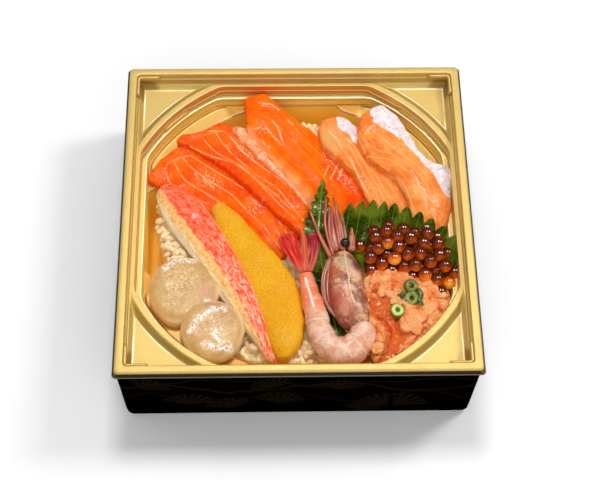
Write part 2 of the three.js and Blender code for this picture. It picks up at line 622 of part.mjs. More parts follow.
function mincedSalmon(grow = 0) {
  const random = randomSource(5);
  const [cx, cy] = MINCED_SALMON.centre;
  const parts = [mound(MINCED_SALMON, grow)];
  for (let i = 0; i < FLAKE.count; i++) {
    const angle = GOLDEN_ANGLE * i;
    const share = Math.sqrt((i + 0.5) / FLAKE.count) * FLAKE.outermost;
    const reach = reachAt(MINCED_SALMON.reach, angle) * share;
    const [x, y] = [cx + reach * Math.cos(angle), cy + reach * Math.sin(angle)];
    const size = FLAKE.size + FLAKE.spread * random();
    const [wide, long] = FLAKE.shape.map((share) => size * share + grow);
    const radii = [wide, long, FLAKE.thin + random() + grow];
    const turn = [FLAKE.lean * (random() - 0.5), Math.PI * random()];
    parts.push(pebble([x, y, moundTop(MINCED_SALMON, x, y)], radii, turn, [5, 4]));
  }
  for (const [x, y, z, lean, turn] of ONION_PLACES) {
    const { outer, inner, height, sides } = ONION;
    const section = [[inner, 0], [outer, 0], [outer, height], [inner, height], [inner, 0]];
    const ring = new THREE.LatheGeometry(section.map((p) => new THREE.Vector2(...p)), sides);
    ring.rotateX(Math.PI / 2 - lean).rotateZ(turn).translate(x, y, z - height);
    parts.push(solid(ring));
  }
  return union(parts);
}

// The bare rice, and the grains that show where no topping covers it.
// Rows are rings round the middle, as shares of the outline; a grain is left out if a sightline
// straight down to it meets a topping, or if it would cross a topping or the tray.
const GRAIN = { radii: [1.5, 3, 1.35], rise: 0.5, lean: 1.2 };
const GRAIN_ROWS = { count: 18, outermost: 0.99, step: 0.035, spacing: 5.9 };
const SIGHTLINE = 0.3;

function riceHeap(toppings, air) {
  const random = randomSource(3);
  const core = mound(RICE).intersect(air);
  const meanReach = RICE.reach.reduce((sum, reach) => sum + reach, 0) / RICE.reach.length;
  const grains = [];
  for (let row = 0; row < GRAIN_ROWS.count; row++) {
    const share = GRAIN_ROWS.outermost - row * GRAIN_ROWS.step;
    const count = Math.round(2 * Math.PI * meanReach * share / GRAIN_ROWS.spacing);
    for (let i = 0; i < count; i++) {
      const angle = 2 * Math.PI * (i + 0.5 * (row % 2)) / count;
      const reach = reachAt(RICE.reach, angle) * share;
      const [x, y] = [reach * Math.cos(angle), reach * Math.sin(angle)];
      const turn = [GRAIN.lean * (random() - 0.5), Math.PI * random()];
      const z = moundTop(RICE, x, y) + GRAIN.rise;
      const above = boxSolid([SIGHTLINE, SIGHTLINE, SKY - z], [x, y, (SKY + z) / 2]);
      if (!above.intersect(toppings).isEmpty()) continue;
      const grain = pebble([x, y, z], GRAIN.radii, turn, [5, 3]);
      if (!grain.intersect(toppings).isEmpty() || !grain.subtract(air).isEmpty()) continue;
      grains.push(grain);
    }
  }
  return union([core, ...grains]);
}

// Toppings from the one that keeps its whole form to the one that gives way to all before it
const TOPPINGS = [
  ['shiso_large', (grow) => leaf(SHISO_LARGE, grow), { color: 0x35591f, roughness: 0.45 }],
  ['shiso_small', (grow) => leaf(SHISO_SMALL, grow), { color: 0x35591f, roughness: 0.45 }],
  ['sweet_shrimp', (grow) => shrimp(grow), { color: 0xe3a58c, roughness: 0.3 }],
  ['minced_salmon', (grow) => mincedSalmon(grow), { color: 0xee8a4c, roughness: 0.4 }],
  ['salmon_roe', (grow) => salmonRoe(grow), { color: 0x8c2f08, roughness: 0.15 }],
  ['scallop_front', (grow) => mound(SCALLOP_FRONT, grow), { color: 0xe6c29c, roughness: 0.3 }],
  ['crab_leg', (grow) => slab(CRAB_LEG, grow), { color: 0xf2704a, roughness: 0.35 }],
  ['scallop_back', (grow) => mound(SCALLOP_BACK, grow), { color: 0xe3bd95, roughness: 0.3 }],
  ['herring_roe', (grow) => slab(HERRING_ROE, grow), { color: 0xf0ab34, roughness: 0.4 }],
  ['salmon_right_front', (grow) => slab(SALMON_RIGHT_FRONT, grow), { color: 0xf59a5c, roughness: 0.3 }],
  ['salmon_right_back', (grow) => slab(SALMON_RIGHT_BACK, grow), { color: 0xf3a468, roughness: 0.3 }],
  ['salmon_left_back', (grow) => slab(SALMON_LEFT_BACK, grow), { color: 0xf4581c, roughness: 0.3 }],
  ['salmon_centre', (grow) => slab(SALMON_CENTRE, grow), { color: 0xfa6a14, roughness: 0.3 }],
  ['salmon_left_front', (grow) => slab(SALMON_LEFT_FRONT, grow), { color: 0xf45a20, roughness: 0.3 }],
];

const HEAPS = ['minced_salmon', 'salmon_roe'];

const part = new THREE.Group();
const gold = { color: 0xd9b45c, roughness: 0.3, metalness: 0.8 };
part.add(meshOf('outer_box', outerBox(), { color: 0x0b0a0a, roughness: 0.35 }));
part.add(meshOf('gold_tray', goldTray(), gold));

const air = airSpace(-GAP);
const riceClear = mound(RICE, GAP);
let taken = riceClear;
let toppings = null;
for (const [name, make, look] of TOPPINGS) {
  const body = mainBody(make(0).intersect(air).subtract(taken));
  part.add(meshOf(name, body, look, HEAPS.includes(name) ? HEAP_THINNING : THINNING));
  const clear = make(GAP);
  taken = taken.add(clear);
  toppings = toppings ? toppings.add(clear) : clear;
}
part.add(meshOf('rice', riceHeap(toppings, air), { color: 0xf3e6d2, roughness: 0.5 }, HEAP_THINNING));

export default part;
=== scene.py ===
# Looks of a square takeaway box of seafood on rice, built round its CAD frame.
# Forms are given in millimetres, as in the frame's own source, and turned to metres as a mesh is made.
import math

import bpy
import numpy as np
from mathutils import Matrix
from mathutils.bvhtree import BVHTree


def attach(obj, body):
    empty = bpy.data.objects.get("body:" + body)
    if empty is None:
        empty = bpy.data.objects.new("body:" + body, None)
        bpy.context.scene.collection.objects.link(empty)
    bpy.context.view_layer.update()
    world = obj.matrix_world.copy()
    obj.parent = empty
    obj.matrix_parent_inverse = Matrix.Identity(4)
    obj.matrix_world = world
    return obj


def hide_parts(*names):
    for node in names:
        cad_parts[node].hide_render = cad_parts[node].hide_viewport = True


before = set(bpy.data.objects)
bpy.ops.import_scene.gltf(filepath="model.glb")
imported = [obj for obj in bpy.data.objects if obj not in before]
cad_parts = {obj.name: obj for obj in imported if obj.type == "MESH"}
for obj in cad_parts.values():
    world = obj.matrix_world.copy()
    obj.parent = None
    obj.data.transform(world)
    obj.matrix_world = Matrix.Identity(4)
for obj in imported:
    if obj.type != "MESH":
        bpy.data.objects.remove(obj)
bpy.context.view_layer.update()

MM = 0.001
BODY = "root"
TURN = 2 * math.pi


# Numbers and noise

def lattice(cell, seed):
    """A random number from 0 to 1 for each whole-number place."""
    n = cell.astype(np.int64)
    n = n[..., 0] * 73856093 ^ n[..., 1] * 19349663 ^ n[..., 2] * 83492791 ^ seed * 2654435761
    n = (n ^ (n >> 13)) * 1274126177 & 0xFFFFFFFF
    n = (n ^ (n >> 16)) * 2246822519 & 0xFFFFFFFF
    return (n & 0xFFFFFF) / 0xFFFFFF


def noise(points, size, seed=0, octaves=3):
    """Smooth noise from -1 to 1 at points, with features of about the given size."""
    total, weight, span = 0, 1, 0
    for octave in range(octaves):
        place = points / size * 2 ** octave + 31.7 * octave
        cell = np.floor(place)
        part = place - cell
        part = part * part * (3 - 2 * part)
        value = 0
        for corner in np.ndindex(2, 2, 2):
            share = np.prod(np.where(corner, part, 1 - part), axis=-1)
            value = value + share * lattice(cell + corner, seed + octave)
        total = total + weight * (2 * value - 1)
        span += weight
        weight *= 0.5
    return total / span


def smooth(value, low, high):
    """0 below low, 1 above high, and a soft rise between."""
    share = np.clip((value - low) / (high - low), 0, 1)
    return share * share * (3 - 2 * share)


def rotation(axis_x, axis_z):
    """Turn about X, then about Z."""
    return np.array((Matrix.Rotation(axis_z, 3, "Z") @ Matrix.Rotation(axis_x, 3, "X")))


def curve_at(points, share):
    """Points along a centripetal curve through the given points, at shares of its length in points."""
    points = np.asarray(points, float)
    ends = [2 * points[0] - points[1], *points, 2 * points[-1] - points[-2]]
    ends = np.array(ends)
    share = np.atleast_1d(share) * (len(points) - 1)
    k = np.minimum(share.astype(int), len(points) - 2)
    t = (share - k)[:, None]
    p = [ends[k + i] for i in range(4)]
    step = [np.maximum(np.linalg.norm(p[i + 1] - p[i], axis=1) ** 0.5, 1e-4)[:, None] for i in range(3)]
    m1 = (p[1] - p[0]) / step[0] - (p[2] - p[0]) / (step[0] + step[1]) + (p[2] - p[1]) / step[1]
    m2 = (p[2] - p[1]) / step[1] - (p[3] - p[1]) / (step[1] + step[2]) + (p[3] - p[2]) / step[2]
    m1, m2 = m1 * step[1], m2 * step[1]
    c2 = -3 * p[1] + 3 * p[2] - 2 * m1 - m2
    c3 = 2 * p[1] - 2 * p[2] + m1 + m2
    return p[1] + t * (m1 + t * (c2 + t * c3))


def unit(vectors):
    return vectors / np.maximum(np.linalg.norm(vectors, axis=-1, keepdims=True), 1e-9)


# Meshes

def grid_faces(rows, columns, closed=True):
    """Quads between rows of points; closed rows join their ends."""
    i = np.arange(rows - 1)[:, None] * columns
    j = np.arange(columns if closed else columns - 1)[None, :]
    k = (j + 1) % columns
    return np.stack([i + j, i + k, i + k + columns, i + j + columns], -1).reshape(-1, 4)


def volume(points, faces):
    """Signed volume of a closed form."""
    total = 0
    for face in faces:
        for k in range(1, face.shape[1] - 1):
            a, b, c = points[face[:, 0]], points[face[:, k]], points[face[:, k + 1]]
            total += np.sum(np.cross(a, b) * c) / 6
    return total


def ring_form(rings):
    """Points and faces of a closed form from rings, each end shut by a fan."""
    rows, columns = rings.shape[:2]
    points = np.concatenate([rings.reshape(-1, 3), rings[:1].mean(1), rings[-1:].mean(1)])
    j = np.arange(columns)
    k = (j + 1) % columns
    first = np.stack([k, j, np.full(columns, rows * columns)], -1)
    last = np.stack([j, k, np.full(columns, rows * columns + 1)],
                    -1) + np.array([1, 1, 0]) * (rows - 1) * columns
    faces = [grid_faces(rows, columns), first, last]
    inside_out = volume(points, faces) < 0
    return points, [face[:, ::-1] for face in faces] if inside_out else faces


def joined(forms):
    """Many (points, faces) as one."""
    points, quads, count = [], [], 0
    for form_points, form_faces in forms:
        points.append(form_points)
        quads += [face + count for face in form_faces]
        count += len(form_points)
    return np.concatenate(points), quads


def piece(name, form, material, replaces=None, layers=None, stage=False):
    """A smooth mesh object from points in millimetres, with a value per point for each layer."""
    points, faces = form
    mesh = bpy.data.meshes.new(name)
    mesh.vertices.add(len(points))
    mesh.vertices.foreach_set("co", (points * MM).astype(np.float32).ravel())
    corners = np.concatenate([face.ravel() for face in faces]).astype(np.int32)
    sizes = np.concatenate([np.full(len(face), face.shape[1]) for face in faces])
    starts = np.concatenate([[0], np.cumsum(sizes)[:-1]]).astype(np.int32)
    mesh.loops.add(len(corners))
    mesh.loops.foreach_set("vertex_index", corners)
    mesh.polygons.add(len(sizes))
    mesh.polygons.foreach_set("loop_start", starts)
    mesh.update(calc_edges=True)
    mesh.validate()
    for layer, values in (layers or {}).items():
        mesh.attributes.new(layer, "FLOAT", "POINT").data.foreach_set("value", values.astype(np.float32))
    mesh.materials.append(material)
    mesh.shade_smooth()
    thing = bpy.data.objects.new(name, mesh)
    bpy.context.scene.collection.objects.link(thing)
    if stage:
        return thing
    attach(thing, BODY)
    if replaces:
        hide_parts(replaces)
    return thing


# Materials

def colour(red, green, blue):
    """Linear colour from the 0 to 255 values of a screen."""
    def linear(value):
        value /= 255
        return value / 12.92 if value <= 0.04045 else ((value + 0.055) / 1.055) ** 2.4
    return linear(red), linear(green), linear(blue), 1


class Look:
    """A material in the making. Each method adds a node and gives back its output."""

    def __init__(self, name, inside=None, **settings):
        self.material = bpy.data.materials.new(name)
        self.material.use_nodes = True
        self.tree = self.material.node_tree
        self.shader = self.tree.nodes["Principled BSDF"]
        self.place = self.node("ShaderNodeTexCoord").outputs["Object"]
        self.shade = None
        self.relief = None
        for name, value in settings.items():
            self.set(name.replace("_", " ").title().replace("Ior", "IOR"), value)
        if inside:
            for part, value in zip(("Weight", "Scale", "Radius"), inside):
                self.set("Subsurface " + part, value)

    def node(self, kind, inputs=(), **settings):
        node = self.tree.nodes.new(kind)
        for name, value in settings.items():
            setattr(node, name, value)
        for key, value in dict(inputs).items():
            self.plug(node.inputs[key], value)
        return node

    def plug(self, socket, value):
        """Links an output, or sets a number, or a colour in the 0 to 255 values of a screen."""
        if isinstance(value, bpy.types.NodeSocket):
            self.tree.links.new(value, socket)
        elif socket.type == "RGBA":
            socket.default_value = colour(*value)
        else:
            socket.default_value = value

    def set(self, name, value):
        self.plug(self.shader.inputs[name], value)

    def layer(self, name):
        return self.node("ShaderNodeAttribute", attribute_name=name).outputs["Fac"]

    def stretched(self, *layers, detail=3, rough=0.5, distortion=0.0):
        """Noise drawn out along layers, each given with how often the noise changes along it."""
        place = self.vector(*(self.times(layer, often) for layer, often in layers))
        return self.noise(1.0, detail, rough, place, distortion)

    def cloud(self, size, low, high, start=0.0, end=1.0, **settings):
        """Noise whose values from low to high run from start to end."""
        return self.between(self.noise(size, **settings), low, high, start, end)

    def math(self, operation, a, b=0.5):
        return self.node("ShaderNodeMath", {0: a, 1: b}, operation=operation).outputs[0]

    def times(self, a, b):
        return self.math("MULTIPLY", a, b)

    def plus(self, a, b):
        return self.math("ADD", a, b)

    def minus(self, a, b):
        return self.math("SUBTRACT", a, b)

    def most(self, a, b):
        return self.math("MAXIMUM", a, b)

    def size(self, value):
        return self.math("ABSOLUTE", value)

    def vector(self, x, y=0.0, z=0.0):
        return self.node("ShaderNodeCombineXYZ", {"X": x, "Y": y, "Z": z}).outputs[0]

    def noise(self, size, detail=3, rough=0.5, place=None, distortion=0.0):
        inputs = {"Vector": place or self.place, "Scale": 1 / (size * MM) if place is None else 1 / size,
                  "Detail": detail, "Roughness": rough, "Distortion": distortion}
        return self.node("ShaderNodeTexNoise", inputs).outputs["Fac"]

    def spots(self, size, feature="F1"):
        inputs = {"Vector": self.place, "Scale": 1 / (size * MM)}
        return self.node("ShaderNodeTexVoronoi", inputs, feature=feature).outputs["Distance"]

    def between(self, value, low, high, start=0.0, end=1.0):
        inputs = {"Value": value, "From Min": low, "From Max": high, "To Min": start, "To Max": end}
        return self.node("ShaderNodeMapRange", inputs, interpolation_type="SMOOTHSTEP").outputs[0]

    def mix(self, share, a, b):
        return self.node("ShaderNodeMix", {"Factor": share, 6: a, 7: b}, data_type="RGBA").outputs[2]

    def base(self, share, a, b):
        """The first colour of the surface: a mix of two."""
        self.shade = self.mix(share, a, b)

    def paint(self, share, shade):
        """Lays a colour over the surface where the share is high."""
        self.shade = self.mix(share, self.shade, shade)

    def near(self, place, radius):
        """0 at a place, 1 at the given distance from it."""
        inputs = {0: self.place, 1: tuple(part * MM for part in place)}
        away = self.node("ShaderNodeVectorMath", inputs, operation="DISTANCE").outputs["Value"]
        return self.math("DIVIDE", away, radius * MM)

    def ramp(self, value, stops):
        node = self.node("ShaderNodeValToRGB", {"Fac": value})
        elements = node.color_ramp.elements
        for spare in range(len(stops) - 2):
            elements.new(0.5)
        for element, (position, shade) in zip(elements, stops):
            element.position = position
            element.color = colour(*shade)
        return node.outputs["Color"]

    def bump(self, height, depth, strength=1.0, after=None):
        inputs = {"Height": height, "Distance": 2 * depth * MM, "Strength": strength}
        if after:
            inputs["Normal"] = after
        return self.node("ShaderNodeBump", inputs).outputs[0]

    def press(self, height, depth, strength=1.0):
        """Adds relief to what the surface has already."""
        self.relief = self.bump(height, depth, strength, self.relief)

    def film(self, *heights, least=0.1, most=0.9, index=1.42):
        """A clear wet layer, thicker in places, whose gentle swells break its gloss into glints."""
        swell = None
        for height, depth in heights:
            swell = self.bump(height, depth, 1.0, swell)
        self.set("Coat Weight", self.cloud(8, 0.44, 0.6, least, most))
        self.set("Coat Roughness", 0.03)
        self.set("Coat IOR", index)
        self.set("Coat Normal", swell)

    def done(self):
        if self.shade:
            self.set("Base Color", self.shade)
        if self.relief:
            self.set("Normal", self.relief)
        return self.material


# Camera, light and floor

IMAGE_WIDTH = 600
FOCAL_PIXELS = 1306.4
SENSOR = 36
CAMERA_PLACE = (-8.72, -273.86, 530.91)
CAMERA_BACK = (-0.01814, -0.47311, 0.88082)
CAMERA_UP = (0.00839, 0.88086, 0.47330)
# Each light's direction, distance, size and power
LIGHTS = {
    "lamp_back": ((-0.02, 0.27, 0.963), 0.9, 0.19, 2.9),
    "lamp_right": ((0.55, 0.24, 0.79), 0.9, 0.19, 2.6),
    "soft_left": ((-0.8, 0.25, 0.55), 1.2, 0.9, 1.6),
    "soft_front": ((0.1, -0.8, 0.6), 1.2, 1.2, 5.8)}
FLOOR_HALF = 2000


def make_camera():
    data = bpy.data.cameras.new("camera")
    data.sensor_fit = "HORIZONTAL"
    data.sensor_width = SENSOR
    data.lens = SENSOR * FOCAL_PIXELS / IMAGE_WIDTH
    data.clip_start = 0.01
    camera = bpy.data.objects.new("camera", data)
    back, up = np.array(CAMERA_BACK), np.array(CAMERA_UP)
    turn = np.stack([np.cross(up, back), up, back], -1)
    camera.matrix_world = Matrix.Translation(np.array(CAMERA_PLACE) * MM) @ Matrix(turn.tolist()).to_4x4()
    bpy.context.scene.collection.objects.link(camera)
    bpy.context.scene.camera = camera


def make_light(name, direction, distance, size, power):
    """A square soft light that looks at the food from the given direction."""
    data = bpy.data.lights.new(name, "AREA")
    data.shape = "SQUARE"
    data.size = size
    data.energy = power
    light = bpy.data.objects.new(name, data)
    back = unit(np.array(direction, float))
    side = unit(np.cross([0, 1, 0.01], back))
    turn = np.stack([side, np.cross(back, side), back], -1)
    light.matrix_world = Matrix.Translation(back * distance) @ Matrix(turn.tolist()).to_4x4()
    bpy.context.scene.collection.objects.link(light)


def make_studio():
    scene = bpy.context.scene
    scene.view_settings.view_transform = "Standard"
    world = bpy.data.worlds.new("studio")
    world.use_nodes = True
    nodes, links = world.node_tree.nodes, world.node_tree.links
    direction = nodes.new("ShaderNodeTexCoord")
    split = nodes.new("ShaderNodeSeparateXYZ")
    ceiling = nodes.new("ShaderNodeMapRange")
    for name, value in (("From Min", 0.1), ("From Max", 0.95), ("To Min", 0.2), ("To Max", 0.34)):
        ceiling.inputs[name].default_value = value
    links.new(direction.outputs["Generated"], split.inputs[0])
    links.new(split.outputs["Z"], ceiling.inputs["Value"])
    links.new(ceiling.outputs[0], nodes["Background"].inputs["Strength"])
    nodes["Background"].inputs["Color"].default_value = (1, 1, 1, 1)
    scene.world = world
    for name, settings in LIGHTS.items():
        make_light(name, *settings)
    floor = Look("floor", roughness=0.9)
    floor.base(floor.noise(40), (250, 250, 250), (255, 255, 255))
    points = FLOOR_HALF * np.array([[-1, -1, 0], [1, -1, 0], [1, 1, 0], [-1, 1, 0]], float)
    piece("floor", (points, [np.array([[0, 1, 2, 3]])]), floor.done(), stage=True)


# Tray and box

LIP_HALF = 75
LIP_BOTTOM = 44.6
LIP_TOP = 45.4
HEIGHT = 48
FLANGE_HALF = 74
RIM_HALF = 70.5
RIM_STEP = 44.8
RIM_LEAN = 0.4
RIM_FOOT_HALF = 69.9
LAND_Z = 42
PANEL_Z = 39.7
PANEL_HALF = 67.5
SLOPE_FOOT_RADIUS = 81.2
SLOPE_HEAD_RADIUS = 78.3
WELL_MOUTH = (68.2, 76)
LEDGE_Z = 35.5
LEDGE_OUTER = (68, 75.8)
LEDGE_INNER = (65.8, 74.3)
SHELF_Z = 30
SLOT_DEPTH = 0.8
SHELF_OUTER = (65.4, 73.9)
WELL_HALF = 65.4
WELL_RADIUS = 66
WELL_FLOOR = 5
SHEET = 0.8
CORNER_ROUND = 1.6
PANEL_LINES = 40
BEAD_DEPTH = 0.7
BEAD_TOP = 38.2
BEAD_FOOT = 37.3
MOUTH_FOOT = 36.7
MOUTH_REACH = 76.5
POCKET_FROM = (61.2, 62.2)
POCKET_REACH = 71.4
POCKET_HEIGHTS = (46.6, 47.4)
# Angles from the nearest axis, in degrees, over which each thing sets in or ends
SHELF_END = (16, 19.5)
SLOT_START = (25, 26.4)
BEAD_START = (27, 28.2)
BEAD_END = (38.2, 39.4)
NARROW_START = (38.2, 39.6)
LUG = {"length": 9, "depth": 1.2, "bottom": 44.2, "height": 3, "inset": 1}
BOX_TOP = 44.3
BOX_TOP_HALF = 74
BOX_BASE_HALF = 73.5
BOX_WALL = 2.3
BOX_FLOOR = 2
BOX_FOOT_ROUND = 3
BOX_CORNER = 3


def fold(angle):
    """The angle from the nearest axis, from 0 to an eighth of a turn."""
    quarter = np.mod(angle, TURN / 4)
    return np.minimum(quarter, TURN / 4 - quarter)


def round_square(angle, half, radius=CORNER_ROUND):
    """Distance from the middle to a square with round corners."""
    away = fold(angle)
    flat = half / np.cos(away)
    reach = (half - radius) * (np.cos(away) + np.sin(away))
    corner = reach + np.sqrt(np.maximum(reach ** 2 - 2 * (half - radius) ** 2 + radius ** 2, 0))
    return np.where(flat * np.sin(away) <= half - radius, flat, corner)


def cut_circle(angle, half, radius, soft=1.2):
    """Distance from the middle to a circle cut by a square, its corners softened."""
    flat = half / np.cos(fold(angle))
    share = np.clip(0.5 + 0.5 * (radius - flat) / soft, 0, 1)
    return radius + (flat - radius) * share - soft * share * (1 - share)


def lower_well(angle):
    """Distance from the middle to the wall below the four crescent shelves."""
    away = fold(angle)
    start, end = (math.radians(limit) for limit in SHELF_END)
    step = smooth(away, start, end)
    return WELL_HALF / np.cos(np.minimum(away, end)) * (1 - step) + WELL_RADIUS * step


ROUND_STEPS = 4


def profile_levels(corners, steps=ROUND_STEPS):
    """Rows of (radius, height) down a profile whose corners are rounded by the given amounts."""
    reach = np.stack([np.stack([radius, np.broadcast_to(height, radius.shape)])
                      for radius, height, *_ in corners])
    rows = []
    for k, (_, _, amount, *_) in enumerate(corners):
        if amount == 0 or k in (0, len(corners) - 1):
            rows.append(reach[k])
            continue
        before, after = reach[k - 1] - reach[k], reach[k + 1] - reach[k]
        lengths = [np.maximum(np.linalg.norm(v, axis=0), 1e-6) for v in (before, after)]
        cut = [v / length * np.minimum(amount, 0.45 * length) for v, length in zip((before, after), lengths)]
        for t in np.linspace(0, 1, steps + 1):
            rows.append(reach[k] + cut[0] * (1 - t) ** 2 + cut[1] * t ** 2)
    return np.stack(rows)


def tray_form():
    """The tray's upper surface, swept round its middle."""
    octant = np.concatenate([np.arange(0, 43.5, 1.25), np.arange(43.5, 45, 0.15)])
    quarter = np.concatenate([octant, [45], 90 - octant[:0:-1]])
    angle = np.radians(np.concatenate([quarter + 90 * k for k in range(4)]))
    away = np.degrees(fold(angle))
    bead = smooth(away, *BEAD_START) * (1 - smooth(away, *BEAD_END))
    narrow = smooth(away, *NARROW_START)
    square = lambda half: round_square(angle, half)
    mouth = cut_circle(angle, *WELL_MOUTH)
    ledge_outer = cut_circle(angle, *LEDGE_OUTER) - 0.9 * narrow
    ledge_inner = cut_circle(angle, *LEDGE_INNER)
    shelf_outer = cut_circle(angle, *SHELF_OUTER)
    low_wall = lower_well(angle)
    shelf_guard = low_wall + np.clip(0.5 * (shelf_outer - low_wall), 0, 0.9)
    slot = smooth(away, *SLOT_START)
    # Each corner: radius, height, rounding, and for some the strength of a painted highlight along it
    corners = [
        (square(FLANGE_HALF - SHEET), LIP_BOTTOM, 0), (square(LIP_HALF), LIP_BOTTOM, 0.3),
        (square(LIP_HALF), LIP_TOP, 0.4, 0.1), (square(FLANGE_HALF), LIP_TOP, 0.4),
        (square(FLANGE_HALF), HEIGHT, 1.1), (square(RIM_HALF), HEIGHT, 0.7),
        (square(RIM_HALF), RIM_STEP + RIM_LEAN, 0.2), (square(RIM_FOOT_HALF), RIM_STEP, 0.2),
        (square(RIM_FOOT_HALF), LAND_Z, 0.3)]
    for line in range(1, PANEL_LINES):
        share = line / PANEL_LINES
        radius = square(RIM_FOOT_HALF) * (1 - share) + mouth * share
        far = radius * np.cos(fold(angle))
        wall = np.clip((RIM_FOOT_HALF - far) / (RIM_FOOT_HALF - PANEL_HALF), 0, 1)
        slope = np.clip((radius - SLOPE_HEAD_RADIUS) / (SLOPE_FOOT_RADIUS - SLOPE_HEAD_RADIUS), 0, 1)
        depth = smooth(np.minimum(wall, slope), 0.02, 0.98)
        corners.append((radius, LAND_Z - (LAND_Z - PANEL_Z) * depth, 0))
    corners += [
        (mouth, LAND_Z, 0.5, 1),
        (mouth - BEAD_DEPTH * bead, BEAD_TOP, 0.2, 1), (mouth - BEAD_DEPTH * bead, BEAD_FOOT, 0.2),
        (ledge_outer, MOUTH_FOOT, 0.2), (ledge_outer, LEDGE_Z, 0.4), (ledge_inner, LEDGE_Z, 0.5, 1),
        (shelf_outer, SHELF_Z + SLOT_DEPTH, 0.8)]
    for share in (0.06, 0.11, 0.16, 0.21, 0.3, 0.6, 1):
        radius = shelf_outer * (1 - share) + shelf_guard * share
        depth = SLOT_DEPTH * slot * smooth(shelf_outer - radius, 0.6, 1.4)
        corners.append((radius, SHELF_Z + SLOT_DEPTH - depth, 0))
    corners += [
        (low_wall, SHELF_Z + SLOT_DEPTH * (1 - slot), 0.7, 0.5), (low_wall, SHELF_Z - 1.5, 0),
        (low_wall, SHELF_Z - 9, 0), (low_wall, WELL_FLOOR, 3), (low_wall * 0.4, WELL_FLOOR, 0)]
    levels = profile_levels(corners)
    x = levels[:, 0] * np.cos(angle)
    y = levels[:, 0] * np.sin(angle)
    rings = np.stack([x, y, levels[:, 1]], -1)
    rows, columns = rings.shape[:2]
    points = np.concatenate([rings.reshape(-1, 3), [[0, 0, WELL_FLOOR]]])
    j = np.arange(columns)
    centre = np.stack([j, (j + 1) % columns, np.full(columns, columns)], -1) + (rows - 1) * columns
    # Painted highlights: each rounded corner gets a light line, strongest at its middle.
    crest_highlights = []
    for _, _, amount, *crest_highlight in corners:
        swell = np.sin(np.pi * np.linspace(0, 1, ROUND_STEPS + 1)) if amount else [0]
        crest_highlights += [part * (crest_highlight or [0])[0] for part in swell]
    return (points, [grid_faces(rows, columns), centre]), np.append(np.repeat(crest_highlights, columns), 0)


def bent_bar(path, half, bottom, top, round_off):
    """A low bar along a level path, its upper edges rounded."""
    path = np.asarray(path, float)
    ahead = unit(np.gradient(path, axis=0))
    across = np.stack([-ahead[:, 1], ahead[:, 0]], -1)
    section = [(-half, bottom), (-half, top - round_off), (-half + round_off, top), (half - round_off, top),
               (half, top - round_off), (half, bottom)]
    rings = np.stack([np.concatenate([path + across * side, np.full((len(path), 1), z)], 1)
                      for side, z in section], 1)
    return ring_form(rings)


def lug_forms():
    """An angle of two short bars inside each corner of the rim."""
    inner = RIM_HALF - LUG["depth"] / 2
    end = RIM_HALF - LUG["inset"] - LUG["length"]
    forms = []
    for x in (-1, 1):
        for y in (-1, 1):
            turn = [(inner - 1.2 * (1 - math.cos(a)), inner - 1.2 * (1 - math.sin(a)))
                    for a in np.linspace(0, TURN / 4, 7)]
            path = [(inner, end), (inner, end + 2)] + turn + [(end + 2, inner), (end, inner)]
            forms.append(bent_bar(np.array(path) * (x, y), LUG["depth"] / 2, LUG["bottom"],
                                  LUG["bottom"] + LUG["height"], 0.3))
    return forms


# Zones of the tray, how strongly each is painted, and its colour: the shelf and land are own tones, the
# slot's edge line is a painted shadow, and the rest are painted shade
ZONES = [
    ("shelf", 0.6, (212, 172, 88)), ("land", 0.8, (192, 136, 46)), ("brink_shadow", 1.0, (84, 42, 4)),
    ("pocket_shade", 0.7, (132, 92, 24)), ("slope", 0.6, (172, 142, 60)), ("skirt_shade", 0.97, (36, 24, 0))]


def gold_look(name, zones=False):
    look = Look(name, metallic=0.5, roughness=0.46)
    grain = look.noise(0.45, detail=2)
    swell = look.noise(9, detail=2)
    look.base(swell, (206, 174, 98), (218, 186, 110))
    if zones:
        # Painted light: the deep inner walls, below the ledge, are painted a lighter orange.
        look.paint(look.layer("well_glow"), (255, 208, 84))
        # Painted shade: the mouth's walls are painted a darker orange-brown, paler and yellower toward the
        # back.
        back = look.between(look.near((0, WELL_HALF, LEDGE_Z), WELL_HALF), 0.4, 1.0, 1.0, 0.0)
        mouth = look.mix(back, (216, 172, 84), (226, 152, 46))
        look.paint(look.layer("mouth"), mouth)
        # Zone tones from the table: painted shade, a painted shadow line, and the shelf's own tones.
        for zone, amount, shade in ZONES:
            look.paint(look.times(look.layer(zone), amount), shade)
        # Painted highlights: thin light lines at the foot of the panels' walls, broken by noise, joined with
        # the rounded edges' highlights.
        arc, side = look.layer("arc"), look.layer("side")
        arc_highlight = look.times(look.between(look.size(arc), 0.08, 0.4, 1.0, 0.0),
                              look.between(side, 0.0, 0.3, 1.0, 0.0))
        side_highlight = look.times(look.between(look.size(side), 0.08, 0.4, 1.0, 0.0),
                               look.between(arc, -0.3, 0.0))
        foot = look.times(look.most(arc_highlight, side_highlight), look.layer("level"))
        uneven = look.cloud(15, 0.38, 0.62, 0.25, 0.75, detail=2)
        crest_highlight = look.most(look.layer("crest_highlight"), look.times(foot, uneven))
        look.paint(look.times(crest_highlight, 0.95), (255, 252, 222))
        # Painted shade on the rim's inner wall.
        look.paint(look.times(look.layer("rim_wall_shade"), 0.6), (130, 88, 30))
        look.set("Metallic", look.between(look.layer("well_glow"), 0.0, 1.0, 0.5, 0.05))
        # Painted light: the deep inner walls and the highlighted edges emit light.
        painted_glow = look.mix(look.layer("well_glow"), (0, 0, 0), (131, 91, 20))
        look.set("Emission Color", look.mix(crest_highlight, painted_glow, (255, 250, 206)))
        look.set("Emission Strength", 0.4)
    look.set("Roughness", look.between(grain, 0.3, 0.7, 0.4, 0.5))
    look.press(grain, 0.1, 0.5)
    look.press(look.noise(1.1, detail=2), 0.05, 0.5)
    return look.done()


def thicken(surface, thickness):
    """Gives a surface the thickness of a sheet, on its under side."""
    sheet = surface.modifiers.new("sheet", "SOLIDIFY")
    sheet.thickness = thickness * MM
    sheet.offset = -1


